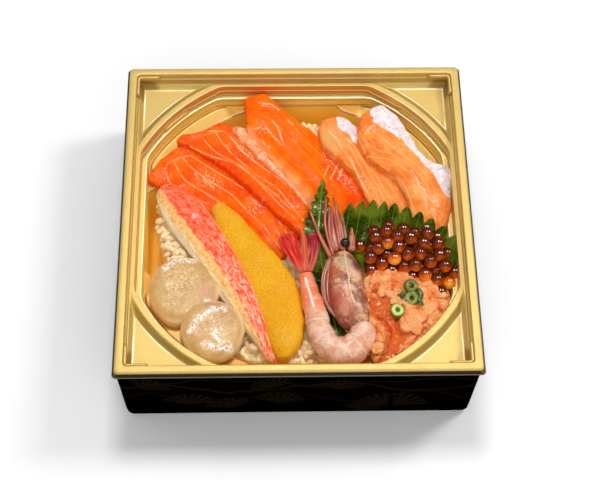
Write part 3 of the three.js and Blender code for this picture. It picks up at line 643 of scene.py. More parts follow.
def make_tray():
    form, crest_highlight = tray_form()
    points = form[0]
    outward = np.max(np.abs(points[:, :2]), axis=1)
    height = points[:, 2]
    # Painted shade: the outer faces of the flange, under the lip.
    skirt_shade = smooth(outward, FLANGE_HALF - 0.5, FLANGE_HALF - 0.1)
    skirt_shade *= smooth(-height, 0.5 - HEIGHT, 1.2 - HEIGHT)
    far = np.hypot(points[:, 0], points[:, 1])
    shelf = smooth(height, SHELF_Z - 0.3, SHELF_Z - 0.1) * smooth(-height, -SHELF_Z - 1.3, -SHELF_Z - 0.9)
    shelf *= far < SHELF_OUTER[1] + 0.2
    land = shelf * smooth(height, SHELF_Z + 0.1, SHELF_Z + 0.7)
    # Painted shadow: a dark line along the slot's outer edge.
    brink_shadow = shelf * (1 - np.abs(2 * smooth(height, SHELF_Z, SHELF_Z + SLOT_DEPTH) - 1))
    # Painted shade: the recesses behind the corner bars.
    pocket_shade = smooth(np.min(np.abs(points[:, :2]), axis=1), *POCKET_FROM)
    pocket_shade *= (outward < POCKET_REACH) * smooth(-height, -POCKET_HEIGHTS[1], -POCKET_HEIGHTS[0])
    pocket_shade *= outward > PANEL_HALF + 0.4
    # Painted shade: the rim's inner wall.
    rim_wall_shade = (np.abs(outward - RIM_FOOT_HALF) < 0.3) * smooth(height, LAND_Z + 0.2, LAND_Z + 0.6)
    rim_wall_shade = rim_wall_shade * smooth(-height, 0.1 - RIM_STEP, 0.3 - RIM_STEP)
    # Painted light: everything below the ledge but the shelves.
    well_glow = smooth(-height, -LEDGE_Z + 0.3, -LEDGE_Z + 1.2) * (1 - shelf)
    # Painted shade: the walls of the mouth, from the land down to the ledge.
    mouth = smooth(height, LEDGE_Z + 0.6, LEDGE_Z + 1.2) * smooth(-height, 0.1 - LAND_Z, 0.6 - LAND_Z)
    mouth *= far < PANEL_HALF / math.cos(math.radians(SLOT_START[0])) + 3
    beyond = np.maximum(outward, MOUTH_REACH)
    mouth *= 1 - smooth(far, beyond, beyond + 0.4) * (far > MOUTH_REACH + 0.5)
    level = (height < LAND_Z + 0.1) & (height > PANEL_Z - 0.1)
    # Painted shade: the sloping band round the panels' corners.
    slope = smooth(far, SLOPE_HEAD_RADIUS - 0.2, SLOPE_HEAD_RADIUS + 0.3) * (outward < PANEL_HALF) * level
    slope *= 1 - smooth(far, SLOPE_FOOT_RADIUS - 0.4, SLOPE_FOOT_RADIUS)
    tray = piece("tray", form, gold_look("gold_sheet", True), replaces="gold_tray",
                 layers={"skirt_shade": skirt_shade, "well_glow": well_glow, "mouth": mouth, "slope": slope,
                         "crest_highlight": crest_highlight, "arc": far - SLOPE_FOOT_RADIUS - 0.2, "side": outward - PANEL_HALF,
                         "level": level.astype(float), "shelf": shelf, "land": land, "brink_shadow": brink_shadow,
                         "pocket_shade": pocket_shade, "rim_wall_shade": rim_wall_shade})
    thicken(tray, SHEET)
    piece("tray_lugs", joined(lug_forms()), gold_look("gold_lugs"))


# Pine print on each side of the box: wavy branches, and fans of needles with foot, lean, reach and spread
BRANCHES = [(31, 4.5, 0.085, 0.4, 0.9), (20, 5, 0.11, 2.2, 0.5), (36, 3, 0.07, 4.0, 0.45)]
NEEDLE_FANS = [
    (-46, 12, 0.1, 13, 1.25), (-28, 8, -0.3, 12, 1.2), (-8, 13, 0.15, 12, 1.2), (-9, 31, -0.5, 11, 1.3),
    (17, 28, 0.1, 11, 1.25), (38, 9, -0.8, 15, 0.8), (40, 9, 0.75, 15, 0.8), (26, 4, 0.2, 9, 1.3),
    (-64, 30, 0.6, 12, 1.1)]
NEEDLES = 22


def needle_fan(look, side, height, foot, rise, lean, reach, spread):
    """How strongly one fan of needles shows at each place on a side."""
    x, y = look.minus(side, foot), look.minus(height, rise)
    angle = look.minus(look.math("ARCTAN2", x, y), lean)
    far = look.math("SQRT", look.plus(look.times(x, x), look.times(y, y)))
    needles = look.between(look.math("SINE", look.times(angle, NEEDLES)), -0.1, 0.5, 0.2, 1.0)
    filled = look.between(far, reach * 0.55, reach * 0.8, 0.55, 0.0)
    inside = look.between(far, reach * 0.94, reach, 1.0, 0.0)
    within_spread = look.between(look.size(angle), spread * 0.94, spread, 1.0, 0.0)
    amount = look.times(look.most(needles, filled), inside)
    return look.times(amount, within_spread)


def box_look():
    """Black board with a faint gold pine print round its sides."""
    look = Look("black_board", roughness=0.5, specular_ior_level=0.0)
    place = look.node("ShaderNodeVectorMath", {0: look.place, 1: (1 / MM,) * 3},
                      operation="MULTIPLY").outputs[0]
    split = look.node("ShaderNodeSeparateXYZ", {0: place})
    x, y, height = (split.outputs[k] for k in range(3))
    front = look.math("GREATER_THAN", look.size(y), look.size(x))
    side = look.plus(look.times(front, x), look.times(look.minus(1.0, front), y))
    marks = None
    for middle, swing, pace, start, half in BRANCHES:
        wave = look.math("SINE", look.plus(look.times(side, pace), start))
        bend = look.times(look.minus(look.noise(18, detail=2), 0.5), 12.0)
        line = look.plus(look.plus(look.times(wave, swing), middle), bend)
        away = look.size(look.minus(height, line))
        mark = look.between(away, half * 0.7, half * 1.3, 0.8, 0.0)
        marks = look.most(marks, mark) if marks else mark
    for foot, rise, lean, reach, spread in NEEDLE_FANS:
        marks = look.most(marks, needle_fan(look, side, height, foot, rise, lean, reach, spread))
    look.base(look.noise(20), (2, 1, 0), (3, 2, 1))
    look.paint(look.times(marks, 0.9), (25, 18, 7))
    look.press(look.noise(0.8), 0.015, 0.2)
    return look.done()


def make_box():
    angle = np.radians(np.arange(0, 360, 1.0))
    square = lambda half: round_square(angle, half, BOX_CORNER)
    corners = [
        (square(0.4 * BOX_BASE_HALF), 0, 0), (square(BOX_BASE_HALF), 0, BOX_FOOT_ROUND),
        (square(BOX_TOP_HALF), BOX_TOP, 0.5), (square(BOX_TOP_HALF - BOX_WALL), BOX_TOP, 0.3),
        (square(BOX_BASE_HALF - BOX_WALL), BOX_FLOOR, 1), (square(0.4 * BOX_BASE_HALF), BOX_FLOOR, 0)]
    levels = profile_levels(corners, 6)
    rings = np.stack([levels[:, 0] * np.cos(angle), levels[:, 0] * np.sin(angle), levels[:, 1]], -1)
    piece("box", ring_form(rings), box_look(), replaces="outer_box")


# Slices and sticks: forms between two edges, given as points on their upper surface from end to end

CRAB_LEG = {
    "left": [(-62.4, 18.6, 35), (-60, 9, 34.5), (-54, -1.5, 34.5), (-46, -13.5, 34.5), (-38, -26.5, 34.5),
             (-30, -38.5, 34.5), (-23, -49, 34.5), (-16.5, -58, 34), (-12, -64.6, 33.5)],
    "right": [(-54.5, 22.5, 36), (-42.5, 12.5, 37), (-36, 3, 37.5), (-29.8, -8, 38), (-23.3, -21, 38),
              (-18, -33.5, 38), (-14.4, -45.5, 37.5), (-12, -57, 36.5), (-9.6, -64.4, 35)],
    "thick": 8.5, "crown": 2.2, "square": 0.55, "tips": (0.04, 0.05)}
HERRING_ROE = {
    "left": [(-37.5, 8, 36), (-35, 0.5, 36), (-29.5, -11, 36), (-23.5, -24, 36), (-18.5, -36, 36),
             (-14.5, -48, 36), (-11.5, -58, 35.5), (-8.5, -63.5, 34.5)],
    "right": [(-32.5, 12, 35.5), (-24, 4.8, 35.5), (-14.5, -7, 35.5), (-5.5, -18, 35.5), (0.8, -30, 35.5),
              (2.8, -43, 35.5), (1.2, -56, 35.5), (-3.5, -63, 34.5)],
    "thick": 8, "crown": 2, "square": 0.35, "tips": (0.015, 0.03)}
SALMON_LEFT_FRONT = {
    "left": [(-65.4, 25, 35), (-55, 18, 33.5), (-43, 9.5, 33), (-32, 5.5, 33), (-22, 0, 33),
             (-13, -8.5, 33), (-6, -16, 32.5)],
    "right": [(-60.5, 33, 35.4), (-49, 40.5, 35.8), (-37, 34, 35.5), (-27, 28, 35.5), (-16, 19, 35.5),
              (-5, 8, 35), (3, -3, 34)],
    "thick": 5, "crown": 0.6, "square": 0.22, "tips": (0.015, 0.03)}
SALMON_LEFT_BACK = {
    "left": [(-53, 42.8, 37), (-45.5, 38.4, 38), (-37, 32.5, 38.5), (-29, 26.6, 38.5), (-20, 17.6, 38.5),
             (-10, 7, 38.3), (-1, -1.4, 37.8), (5, -8, 36.5)],
    "right": [(-51, 45, 36.6), (-42, 47.6, 36.4), (-32.6, 52.4, 36), (-25, 46.6, 35.5), (-14, 36.4, 35.5),
              (-3.4, 23, 35.5), (5, 10, 35.3), (10, 1, 34.8)],
    "thick": 4.5, "crown": 0.8, "square": 0.22, "tips": (0.012, 0.03)}
SALMON_CENTRE = {
    "left": [(-22.6, 64.5, 38.2), (-21.4, 55, 35.6), (-21, 46, 33.5), (-17, 36, 33), (-7, 25, 33),
             (2, 14, 33), (9, 5, 33), (13, -3, 32.5)],
    "right": [(-14, 66, 39.6), (-2.4, 55.5, 37.4), (8, 46.4, 36), (15, 38.4, 35), (22, 30, 34.5),
              (28, 20, 34.5), (31, 9, 34.5), (32, -1, 34)],
    "thick": 5.5, "crown": 1.2, "square": 0.22, "tips": (0.012, 0.03)}
SALMON_RIGHT_BACK = {
    "left": [(12.6, 54, 36.4), (11.5, 46.4, 37.5), (14, 38, 38.5), (21, 31, 38.5), (26.5, 25, 38.5),
             (29.5, 18, 38), (32, 10, 37.3), (34, 2, 36)],
    "right": [(20.4, 56.6, 35.5), (29.6, 49, 34), (35, 41, 33.5), (40, 33, 33.5), (45, 25, 33.5),
              (49, 17, 34), (52, 8, 34), (54, 0, 34)],
    "thick": 4.6, "crown": 0.9, "square": 0.28, "tips": (0.03, 0.04)}
SALMON_RIGHT_FRONT = {
    "left": [(31, 56, 37), (29.5, 48, 38), (29.5, 39.6, 38.5), (33, 31.6, 39), (38, 27, 39),
             (44, 22, 38.5), (48, 15, 38), (50, 6, 37), (51.5, -5, 36)],
    "right": [(39, 61.6, 36.5), (46.8, 53.4, 35.5), (51.4, 44.6, 35.2), (56, 35.9, 35.2), (61, 30.2, 36),
              (67.2, 27, 37.4), (67.4, 15, 37.8), (66, 4, 37.4), (62.5, -7, 36.4)],
    "thick": 4.8, "crown": 0.9, "square": 0.25, "tips": (0.02, 0.04)}


def slab(form, rows=200, across_steps=72, wave=0.35, wave_size=7, edge=0.5, seed=0, wider=0.0):
    """A slice or stick, with its place along and across as layers, and a gently uneven surface."""
    u = (1 - np.cos(np.pi * np.linspace(0, 1, rows + 1))) / 2
    left, right = curve_at(form["left"], u), curve_at(form["right"], u)
    middle_at = lambda share: (curve_at(form["left"], share) + curve_at(form["right"], share)) / 2
    span = (right - left) / 2
    along = unit(middle_at(np.minimum(1, u + 0.01)) - middle_at(np.maximum(0, u - 0.01)))
    up = unit(np.cross(span, along))
    up *= np.sign(up[:, 2:])
    from_end = np.minimum(np.minimum(u / form["tips"][0], (1 - u) / form["tips"][1]), 1)
    taper = np.maximum(0.04, np.sqrt(1 - (1 - from_end) ** 2))
    half_width = (np.linalg.norm(span, axis=1) + wider) * taper
    half_thick = form["thick"] / 2 * (0.4 + 0.6 * taper)
    across = unit(span)
    centre = middle_at(u) - up * form["thick"] / 2
    top = np.sin(np.pi * (np.linspace(0, 1, across_steps + 1) - 0.5))
    under = -np.sin(np.pi * (np.linspace(0, 1, across_steps // 2 + 1) - 0.5))[1:-1]
    c = np.concatenate([top, under])
    power = 2 / form["square"]
    s = (1 - np.minimum(1, np.abs(c)) ** power) ** (1 / power)
    s[len(top):] *= -1
    lift = half_thick[:, None] * s + form["crown"] * taper[:, None] * (1 - c ** 2)
    rings = centre[:, None] + across[:, None] * (half_width[:, None] * c)[..., None]
    rings = rings + up[:, None] * lift[..., None]
    flat = rings.reshape(-1, 3)
    upper = np.broadcast_to(np.clip(s, 0, 1), rings.shape[:2]).reshape(-1)
    c_all = np.broadcast_to(c, rings.shape[:2]).reshape(-1)
    u_all = np.repeat(u, len(c))
    swell = noise(flat, wave_size, seed) * wave * upper
    ragged = noise(flat, 3.5, seed + 5) * edge * smooth(np.abs(c_all), 0.75, 1)
    flat = flat + np.repeat(up, len(c), 0) * swell[:, None]
    flat = flat + np.repeat(across, len(c), 0) * (ragged * np.sign(c_all))[:, None]
    points, faces = ring_form(flat.reshape(rings.shape))
    ends = lambda values, first, last: np.concatenate([values, [first, last]])
    layers = {"along": ends(u_all, 0, 1), "across": ends(c_all, 0, 0), "upper": ends(upper, 0, 0)}
    return (points, faces), layers


def near_lines(points, lines, width):
    """1 on any of several curves seen from above, falling to 0 at the given distance from them."""
    nearest = np.full(len(points), np.inf)
    for line in lines:
        curve = curve_at([(x, y, 0) for x, y in line], np.linspace(0, 1, 40))[:, :2]
        start, step = curve[:-1], np.diff(curve, axis=0)
        away = points[:, None, :2] - start
        share = np.clip(np.sum(away * step, -1) / np.sum(step ** 2, -1), 0, 1)
        distance = np.linalg.norm(away - share[..., None] * step, axis=-1).min(1)
        nearest = np.minimum(nearest, distance)
    return 1 - smooth(nearest, 0.2 * width, width)


def painted_glint_fields(points, fields):
    """How strongly painted glints show, in fields of middle, half length, half width, heading and amount."""
    shine = np.zeros(len(points))
    for x, y, long, wide, heading, amount in fields:
        ahead = np.array([math.cos(heading), math.sin(heading)])
        aside = np.array([-ahead[1], ahead[0]])
        offset = points[:, :2] - (x, y)
        far = np.hypot(offset @ ahead / long, offset @ aside / wide)
        shine = np.maximum(shine, amount * (1 - smooth(far, 0.3, 1.25)))
    return shine


def within(points, outline, soft=0.5, uneven=0.5):
    """1 inside an outline seen from above, 0 outside, its edge softened and made uneven."""
    x, y = points[:, 0], points[:, 1]
    corners = np.array(outline, float)
    crossings = np.zeros(len(points), int)
    nearest = np.full(len(points), np.inf)
    for start, end in zip(corners, np.roll(corners, -1, axis=0)):
        between = (start[1] > y) != (end[1] > y)
        slope = (end[0] - start[0]) / (end[1] - start[1] or 1e-9)
        crossings += between & (x < start[0] + (y - start[1]) * slope)
        step = end - start
        share = np.clip(((points[:, :2] - start) @ step) / (step @ step), 0, 1)
        nearest = np.minimum(nearest, np.linalg.norm(points[:, :2] - start - share[:, None] * step, axis=1))
    depth = np.where(crossings % 2 == 1, nearest, -nearest) + uneven * noise(points, 2.5, 71)
    return smooth(depth, -soft, soft)


# Fat lines of the slices, bare skin, the folds that lie over others, and where painted shade and painted
# highlights go, as seen from above

FAT_WIDTH = 0.44
GROOVE_WIDTH = 2.6
GROOVE_DEPTH = 0.45
# Width of the painted highlight strokes
PAINTED_GLEAM_WIDTH = 0.36
FAT_LINES = {
    "salmon_left_front": [
        [(-46.6, 35.6), (-37.4, 28.9), (-27.4, 21.9), (-17.9, 14.6), (-10.8, 6.8), (-6.0, -0.4),
         (-3.8, -3.9)],
        [(-49.5, 33.7), (-44.6, 27.9), (-36.4, 21.5), (-28.2, 15.7), (-21.0, 7.4), (-14.4, 0.2),
         (-7.0, -10.4)],
        [(-53.7, 31.6), (-49.0, 23.7), (-40.3, 17.4), (-33.1, 12.1), (-26.4, 6.4), (-21.0, 0.8),
         (-15.7, -4.8)],
        [(-57.7, 27.4), (-55.2, 22.2), (-50.6, 18.0), (-44.7, 14.8), (-38.4, 11.7)],
        [(-57.3, 30.6), (-55.1, 32.5), (-51.1, 34.3), (-46.6, 35.6)]],
    "salmon_left_back": [
        [(-46.5, 38.8), (-40.5, 35.3), (-34.6, 32.3), (-29.2, 30.6), (-24.6, 28.0), (-16.5, 20.0),
         (-9.4, 11.2), (-0.3, 1.4)],
        [(-40.6, 42.0), (-34.6, 34.9), (-28.3, 31.2), (-21.0, 25.8), (-14.8, 19.0), (-9.0, 13.8),
         (-2.4, 6.5)],
        [(-35.5, 46.2), (-31.5, 39.2), (-25.6, 32.2), (-16.5, 23.2), (-8.1, 16.9), (-1.5, 7.5), (4.6, -0.6)],
        [(-32.1, 47.8), (-25.6, 39.7), (-17.4, 30.5), (-8.0, 23.1), (0.8, 14.7), (6.9, 7.5)],
        [(-40.7, 45.2), (-35.7, 46.5), (-32.1, 47.6)]],
    "salmon_centre": [
        [(-12, 56), (-4, 46), (6, 34), (14, 22)], [(-4, 54), (4, 44), (14, 32), (22, 18)],
        [(-16, 48), (-8, 37), (2, 25), (10, 13)]],
    "salmon_right_back": [
        [(18.5, 50.0), (23.2, 41.9), (27.2, 32.1), (30.7, 23.1), (35.1, 14.2), (37, 7)],
        [(20.5, 50.0), (25.6, 41.3), (29.6, 32.1), (33.1, 23.7), (37.1, 15.9), (40, 6)],
        [(16.5, 46.0), (21.5, 36.7), (25.1, 28.8), (28.6, 19.8), (32.2, 12.6)],
        [(23.7, 43.6), (28.3, 36.1), (31.9, 28.7), (35.5, 23.1), (40, 14), (44, 5)],
        [(29, 40), (33, 33), (38, 25), (43, 16), (48, 6)]],
    "salmon_right_front": [
        [(31.9, 32.3), (36.7, 30.9), (41.9, 30.2), (46.6, 27.1), (50.7, 22.6), (53.7, 17.6), (55.8, 12.1),
         (57, 2)],
        [(30.3, 40.9), (35.9, 35.7), (43.1, 33.3), (49.1, 28.8), (54.0, 22.6), (57.5, 16.5), (59.8, 8.2),
         (60, -2)],
        [(41.1, 23.5), (44.8, 20.4), (47.9, 15.4), (50.0, 9.9), (51.5, 4.0)],
        [(33.5, 47.8), (39.1, 41.9), (44.7, 36.7), (50.2, 31.0), (55.1, 25.4), (59.0, 18.6), (62, 8)]]}
SKIN = {
    "salmon_right_back": [
        [(18.2, 58), (24, 60), (33, 52), (34, 40.2), (29, 40.7), (26.1, 42.4), (21.9, 47.7), (19.3, 50)]],
    "salmon_right_front": [
        [(34.4, 58), (37, 66), (50, 62), (56, 54), (59, 45), (60, 38), (63, 34), (67, 33), (72, 29),
         (72, 11.4), (65, 11), (64.1, 14.7), (60.6, 22.0), (55.8, 31.6), (50.4, 37.9), (45.6, 43),
         (39.8, 47), (34.6, 51.2)]]}
BARE_SPOT = [(47.4, 42.4), (49.6, 39.2), (48.1, 37.6), (46.4, 40.7)]
UPPER_FOLD = [(31.1, 36.9), (32.8, 31.2), (35.6, 27.8), (41.1, 23.5), (46, 19), (49, 12), (50, -12),
              (75, -12), (75, 70), (25, 70), (28, 45)]
PALE_SIDES = {
    "salmon_centre": [(-26, 52), (-20, 50), (-16.5, 44), (-10, 36), (0, 25), (8, 14), (13, 4), (15, -4),
                      (8, -4), (-12, 20), (-26, 44)],
    "salmon_right_back": [(12.6, 48.8), (17, 51.1), (22.2, 44.1), (22.4, 36.1), (18.5, 33.9), (13.8, 38.5),
                          (12.0, 44.2)],
    "salmon_right_front": [(41, 23), (46, 19), (49, 12), (50, -6), (40, -6), (38, 14)]}
# Places painted darker red as shade, where a slice's edge folds down or another slice lies over it
SHADED_SIDES = {
    "salmon_centre": [(12, 40), (20, 32), (27, 24), (31, 12), (33, -4), (22, -4), (22, 8), (18, 20),
                      (12, 30)],
    "salmon_left_back": [(-53, 40), (-44, 37.5), (-36, 33), (-28, 28.5), (-20, 20), (-11, 10), (-3, 0),
                         (-8, -3), (-24, 16), (-50, 36)]}


# Fields of painted glints on each slice: middle x and y, half length, half width, heading and amount
PAINTED_GLINTS_ON = {
    "salmon_left_front": [(-38, 23, 8, 4.5, -0.6, 0.9), (-17.5, 9.5, 6, 4, -0.7, 0.9),
                          (-4.5, 3, 5, 3, -0.8, 1.0), (-58, 26, 4, 3, -0.5, 0.7)],
    "salmon_left_back": [(-21.5, 36, 12, 2, -0.85, 0.8), (-44, 44, 4, 1.6, 0.5, 0.7),
                         (0, 8, 5, 2.5, -0.9, 0.7)],
    "salmon_centre": [(-14.5, 50, 5, 3, -0.8, 0.7), (-13, 60, 5, 1.5, -0.4, 0.7),
                      (14, 33.5, 4, 2.2, -0.9, 0.9), (23, 21.5, 8, 2.5, -0.95, 1.0),
                      (0, 44, 5, 2, -0.8, 0.5)],
    "salmon_right_back": [(26, 36, 8, 1.2, -1.0, 0.6), (30, 19, 9, 2, -1.0, 0.9)],
    "salmon_right_front": [(33.5, 46, 3, 2.4, -0.5, 1.0), (44.5, 37, 7, 1.6, -0.75, 0.8),
                           (57, 23, 5, 2.4, -1.1, 0.9), (52.5, 17, 5, 2.4, -1.1, 0.8),
                           (59.5, 8, 8, 4, -1.3, 0.9)]}


# Painted highlight strokes on each slice, as lines seen from above
PAINTED_GLEAMS_ON = {
    "salmon_left_front": [
        [(-58.1, 28.9), (-56.5, 29.4)], [(-52, 19.9), (-49, 21.2)], [(-44.4, 26.5), (-42.8, 23.4)],
        [(-40.1, 23.4), (-36.6, 19.7)], [(-18.5, 11.6), (-15.4, 9.3)],
                          [(-7.1, 4.4), (-4.1, 1.8), (-1.4, 0.9)]],
    "salmon_left_back": [
        [(-28.9, 44.8), (-26.2, 40.9), (-23, 38.2)], [(-25.5, 38.6), (-21, 34.1)],
                         [(-30.8, 39.4), (-29.8, 37.7)],
        [(-20.4, 33.2), (-17.5, 30.9)], [(-38.6, 47.2), (-32.8, 47.5)], [(-1.3, 18.1), (2.5, 13.7)]],
    "salmon_centre": [
        [(-10, 52.7), (-7.7, 49.6), (-5.2, 41)], [(-13.3, 50.4), (-10.7, 46.5), (-6.2, 40.7)],
        [(-14.9, 44.6), (-13.6, 41.9), (-11.4, 40.2)], [(-14.5, 60.6), (-10.6, 60.2), (-6.7, 57.4)],
        [(-2.8, 52.6), (-0.5, 50.7)], [(15, 30.2), (12.9, 25)], [(19.2, 31.3), (15.4, 22.7)],
        [(21, 28.7), (18.6, 22.7)], [(-17.8, 49.6), (-15.2, 50.4)]],
    "salmon_right_back": [
        [(15.5, 46.2), (19.3, 42.5)], [(24.5, 32.7), (27.2, 23.7), (30.4, 16.5)], [(22.9, 43.8), (25.1, 41)]],
    "salmon_right_front": [
        [(31.5, 43.9), (33.2, 47.1), (35.6, 49)], [(50.8, 25), (52.9, 20.4), (53.8, 16.9)],
                           [(54.9, 16), (56.4, 14.2)],
        [(60.1, 12.4), (61.1, 7.1)], [(47, 25.9), (48.5, 24.1)]]}


def fish_look(name, flesh, deep, fat, pale, contrast=0.9, streak=0.25, film=0.8):
    """Raw fish: flesh with faint fibres, fat lines, a pale side, a darker side of painted shade, lighter
    streaks partly painted as sheen, painted glints and highlight strokes, and bare silver skin.
    """
    look = Look(name, inside=(0.1, 0.002, (1.0, 0.4, 0.1)), roughness=0.5, specular_ior_level=0.0)
    along, across = look.layer("along"), look.layer("across")
    fibre = look.stretched((along, 7.0), (across, 15.0), detail=4)
    grain = look.stretched((along, 70.0), (across, 5.0), distortion=0.6)
    look.base(look.cloud(7, 0.35, 0.65), flesh, deep)
    look.paint(look.between(fibre, 0.5, 0.8, 0.0, streak), fat)
    thread = look.stretched((along, 9.0), (across, 42.0), detail=2)
    look.paint(look.between(thread, 0.5, 0.7, 0.0, 1.4 * streak), fat)
    # Lighter crosswise streaks: fibre, partly painted as sheen where the surface shines.
    wet_sheen = look.cloud(8, 0.48, 0.62, detail=2)
    streaks = look.times(look.between(wet_sheen, 0.0, 1.0, 0.4, 1.0), look.between(grain, 0.5, 0.72, 0.0, 0.4))
    # Painted shade: darker red on the shaded sides.
    dark = look.times(look.layer("dark"), look.cloud(5, 0.25, 0.6, 0.3, 0.85))
    look.paint(dark, (240, 62, 8))
    look.paint(streaks, fat)
    pale_share = look.times(look.layer("pale"), look.cloud(4, 0.3, 0.6, 0.5, 1.0, detail=4))
    look.paint(pale_share, pale)
    broken = look.cloud(3.5, 0.36, 0.56, 0.2 * contrast, contrast)
    look.paint(look.times(look.layer("fat"), broken), fat)
    speck = look.noise(0.8, detail=3, rough=0.7, distortion=0.8)
    silver = look.mix(look.cloud(3, 0.35, 0.65), (250, 238, 236),
                      (228, 206, 210))
    speckled = look.times(look.between(speck, 0.53, 0.63), look.cloud(5, 0.4, 0.6, 0.15, 0.9))
    silver = look.mix(speckled, silver, (160, 140, 150))
    look.paint(look.layer("skin"), silver)
    look.press(fibre, 0.15, 0.6)
    look.press(grain, 0.12, 0.6)
    look.press(look.noise(1.2, detail=3), 0.1, 0.6)
    # Painted highlights: fine glints in fields, and short highlight strokes.
    sparkle = look.stretched((along, 110.0), (across, 13.0), detail=2, distortion=0.8)
    painted_sparkles = look.times(look.layer("painted_glint"), look.between(sparkle, 0.56, 0.63, 0.0, 0.85))
    painted_gleams = look.times(look.layer("painted_gleam"), look.cloud(0.8, 0.4, 0.56, 0.1, 0.9))
    look.paint(look.most(painted_sparkles, painted_gleams), (255, 224, 192))
    look.film((look.noise(1.9, detail=1), 0.065), (grain, 0.09), least=0.02, most=film)
    return look.done()


PALE_STRIP = {
    "left": [(-30, 49.5, 36.4), (-24.5, 42, 36.8), (-17, 33, 36.6), (-9, 24.5, 36.4), (-1, 16, 36),
             (4, 9, 35.4)],
    "right": [(-23.4, 50.8, 37), (-19.4, 43.2, 37.4), (-13, 34.8, 37.2), (-6.4, 26.4, 36.8), (1, 17.2, 36.2),
              (5.6, 10, 35.4)],
    "thick": 3, "crown": 0.9, "square": 0.5, "tips": (0.08, 0.1)}


def strip_look():
    """Pale lumpy flesh with rosy patches."""
    look = Look("pale_flesh", inside=(0.2, 0.002, (1.0, 0.5, 0.3)), roughness=0.45, specular_ior_level=0.1)
    lumps = look.noise(2.8, detail=3, distortion=0.6)
    look.base(look.between(lumps, 0.4, 0.6), (240, 150, 98), (248, 188, 142))
    look.paint(look.cloud(4, 0.5, 0.7, 0.0, 0.7), (240, 120, 60))
    look.film((look.noise(1.8, detail=2), 0.1), least=0.3)
    look.press(lumps, 0.3, 0.7)
    return look.done()


def make_salmon():
    red = dict(flesh=(246, 100, 0), deep=(238, 76, 0), fat=(255, 172, 110), pale=(244, 160, 110),
               film=0.2, contrast=0.85, streak=0.1)
    bright = dict(flesh=(250, 106, 0), deep=(246, 90, 0), fat=(255, 152, 52), film=0.15,
                  pale=(242, 170, 104), streak=0.3, contrast=0.4)
    peach = dict(flesh=(246, 150, 68), deep=(232, 112, 32), fat=(254, 196, 132),
                 pale=(228, 164, 98), contrast=0.5, streak=0.3, film=0.35)
    looks = {
        "salmon_left_front": (SALMON_LEFT_FRONT, "salmon", red),
        "salmon_left_back": (SALMON_LEFT_BACK, "salmon", red),
        "salmon_centre": (SALMON_CENTRE, "salmon", bright),
        "salmon_right_back": (SALMON_RIGHT_BACK, "salmon_pale", dict(peach, flesh=(238, 138, 54))),
        "salmon_right_front": (SALMON_RIGHT_FRONT, "salmon_pale", peach)}
    for seed, (name, (form, slot, settings)) in enumerate(looks.items()):
        body, layers = slab(form, 260, 100, wave=0.5, wave_size=5, edge=0.9, seed=seed, wider=0.7)
        points = body[0]
        nothing = np.zeros(len(points))
        layers["fat"] = near_lines(points, FAT_LINES[name], FAT_WIDTH)
        points[:, 2] -= GROOVE_DEPTH * near_lines(points, FAT_LINES[name], GROOVE_WIDTH) * layers["upper"]
        # Where the painted glints and highlight strokes go, on the upper face
        layers["painted_glint"] = painted_glint_fields(points, PAINTED_GLINTS_ON[name]) * layers["upper"]
        layers["painted_gleam"] = near_lines(points, PAINTED_GLEAMS_ON[name], PAINTED_GLEAM_WIDTH) * layers["upper"]
        skin = [within(points, outline, 0.25, 1.5) for outline in SKIN.get(name, [])]
        layers["skin"] = np.max(skin + [nothing], axis=0)
        layers["pale"] = within(points, PALE_SIDES[name], 2.5) if name in PALE_SIDES else nothing
        # Painted shade where a neighbour lies over the slice or its edge folds
        layers["dark"] = within(points, SHADED_SIDES[name], 2.5) if name in SHADED_SIDES else nothing
        if name == "salmon_right_front":
            layers["skin"] = layers["skin"] * (1 - within(points, BARE_SPOT, 0.4))
            fold_height = 0.9 * smooth(points[:, 1], -3, 12)
            points[:, 2] += fold_height * within(points, UPPER_FOLD, 0.6) * layers["upper"]
        piece(name + "_slice", body, fish_look(name, **settings), replaces=name, layers=layers)
    strip, layers = slab(PALE_STRIP, 160, 40, wave=0.9, wave_size=2.6, edge=1.3, seed=9)
    piece("salmon_pale_strip", strip, strip_look(), layers=layers)


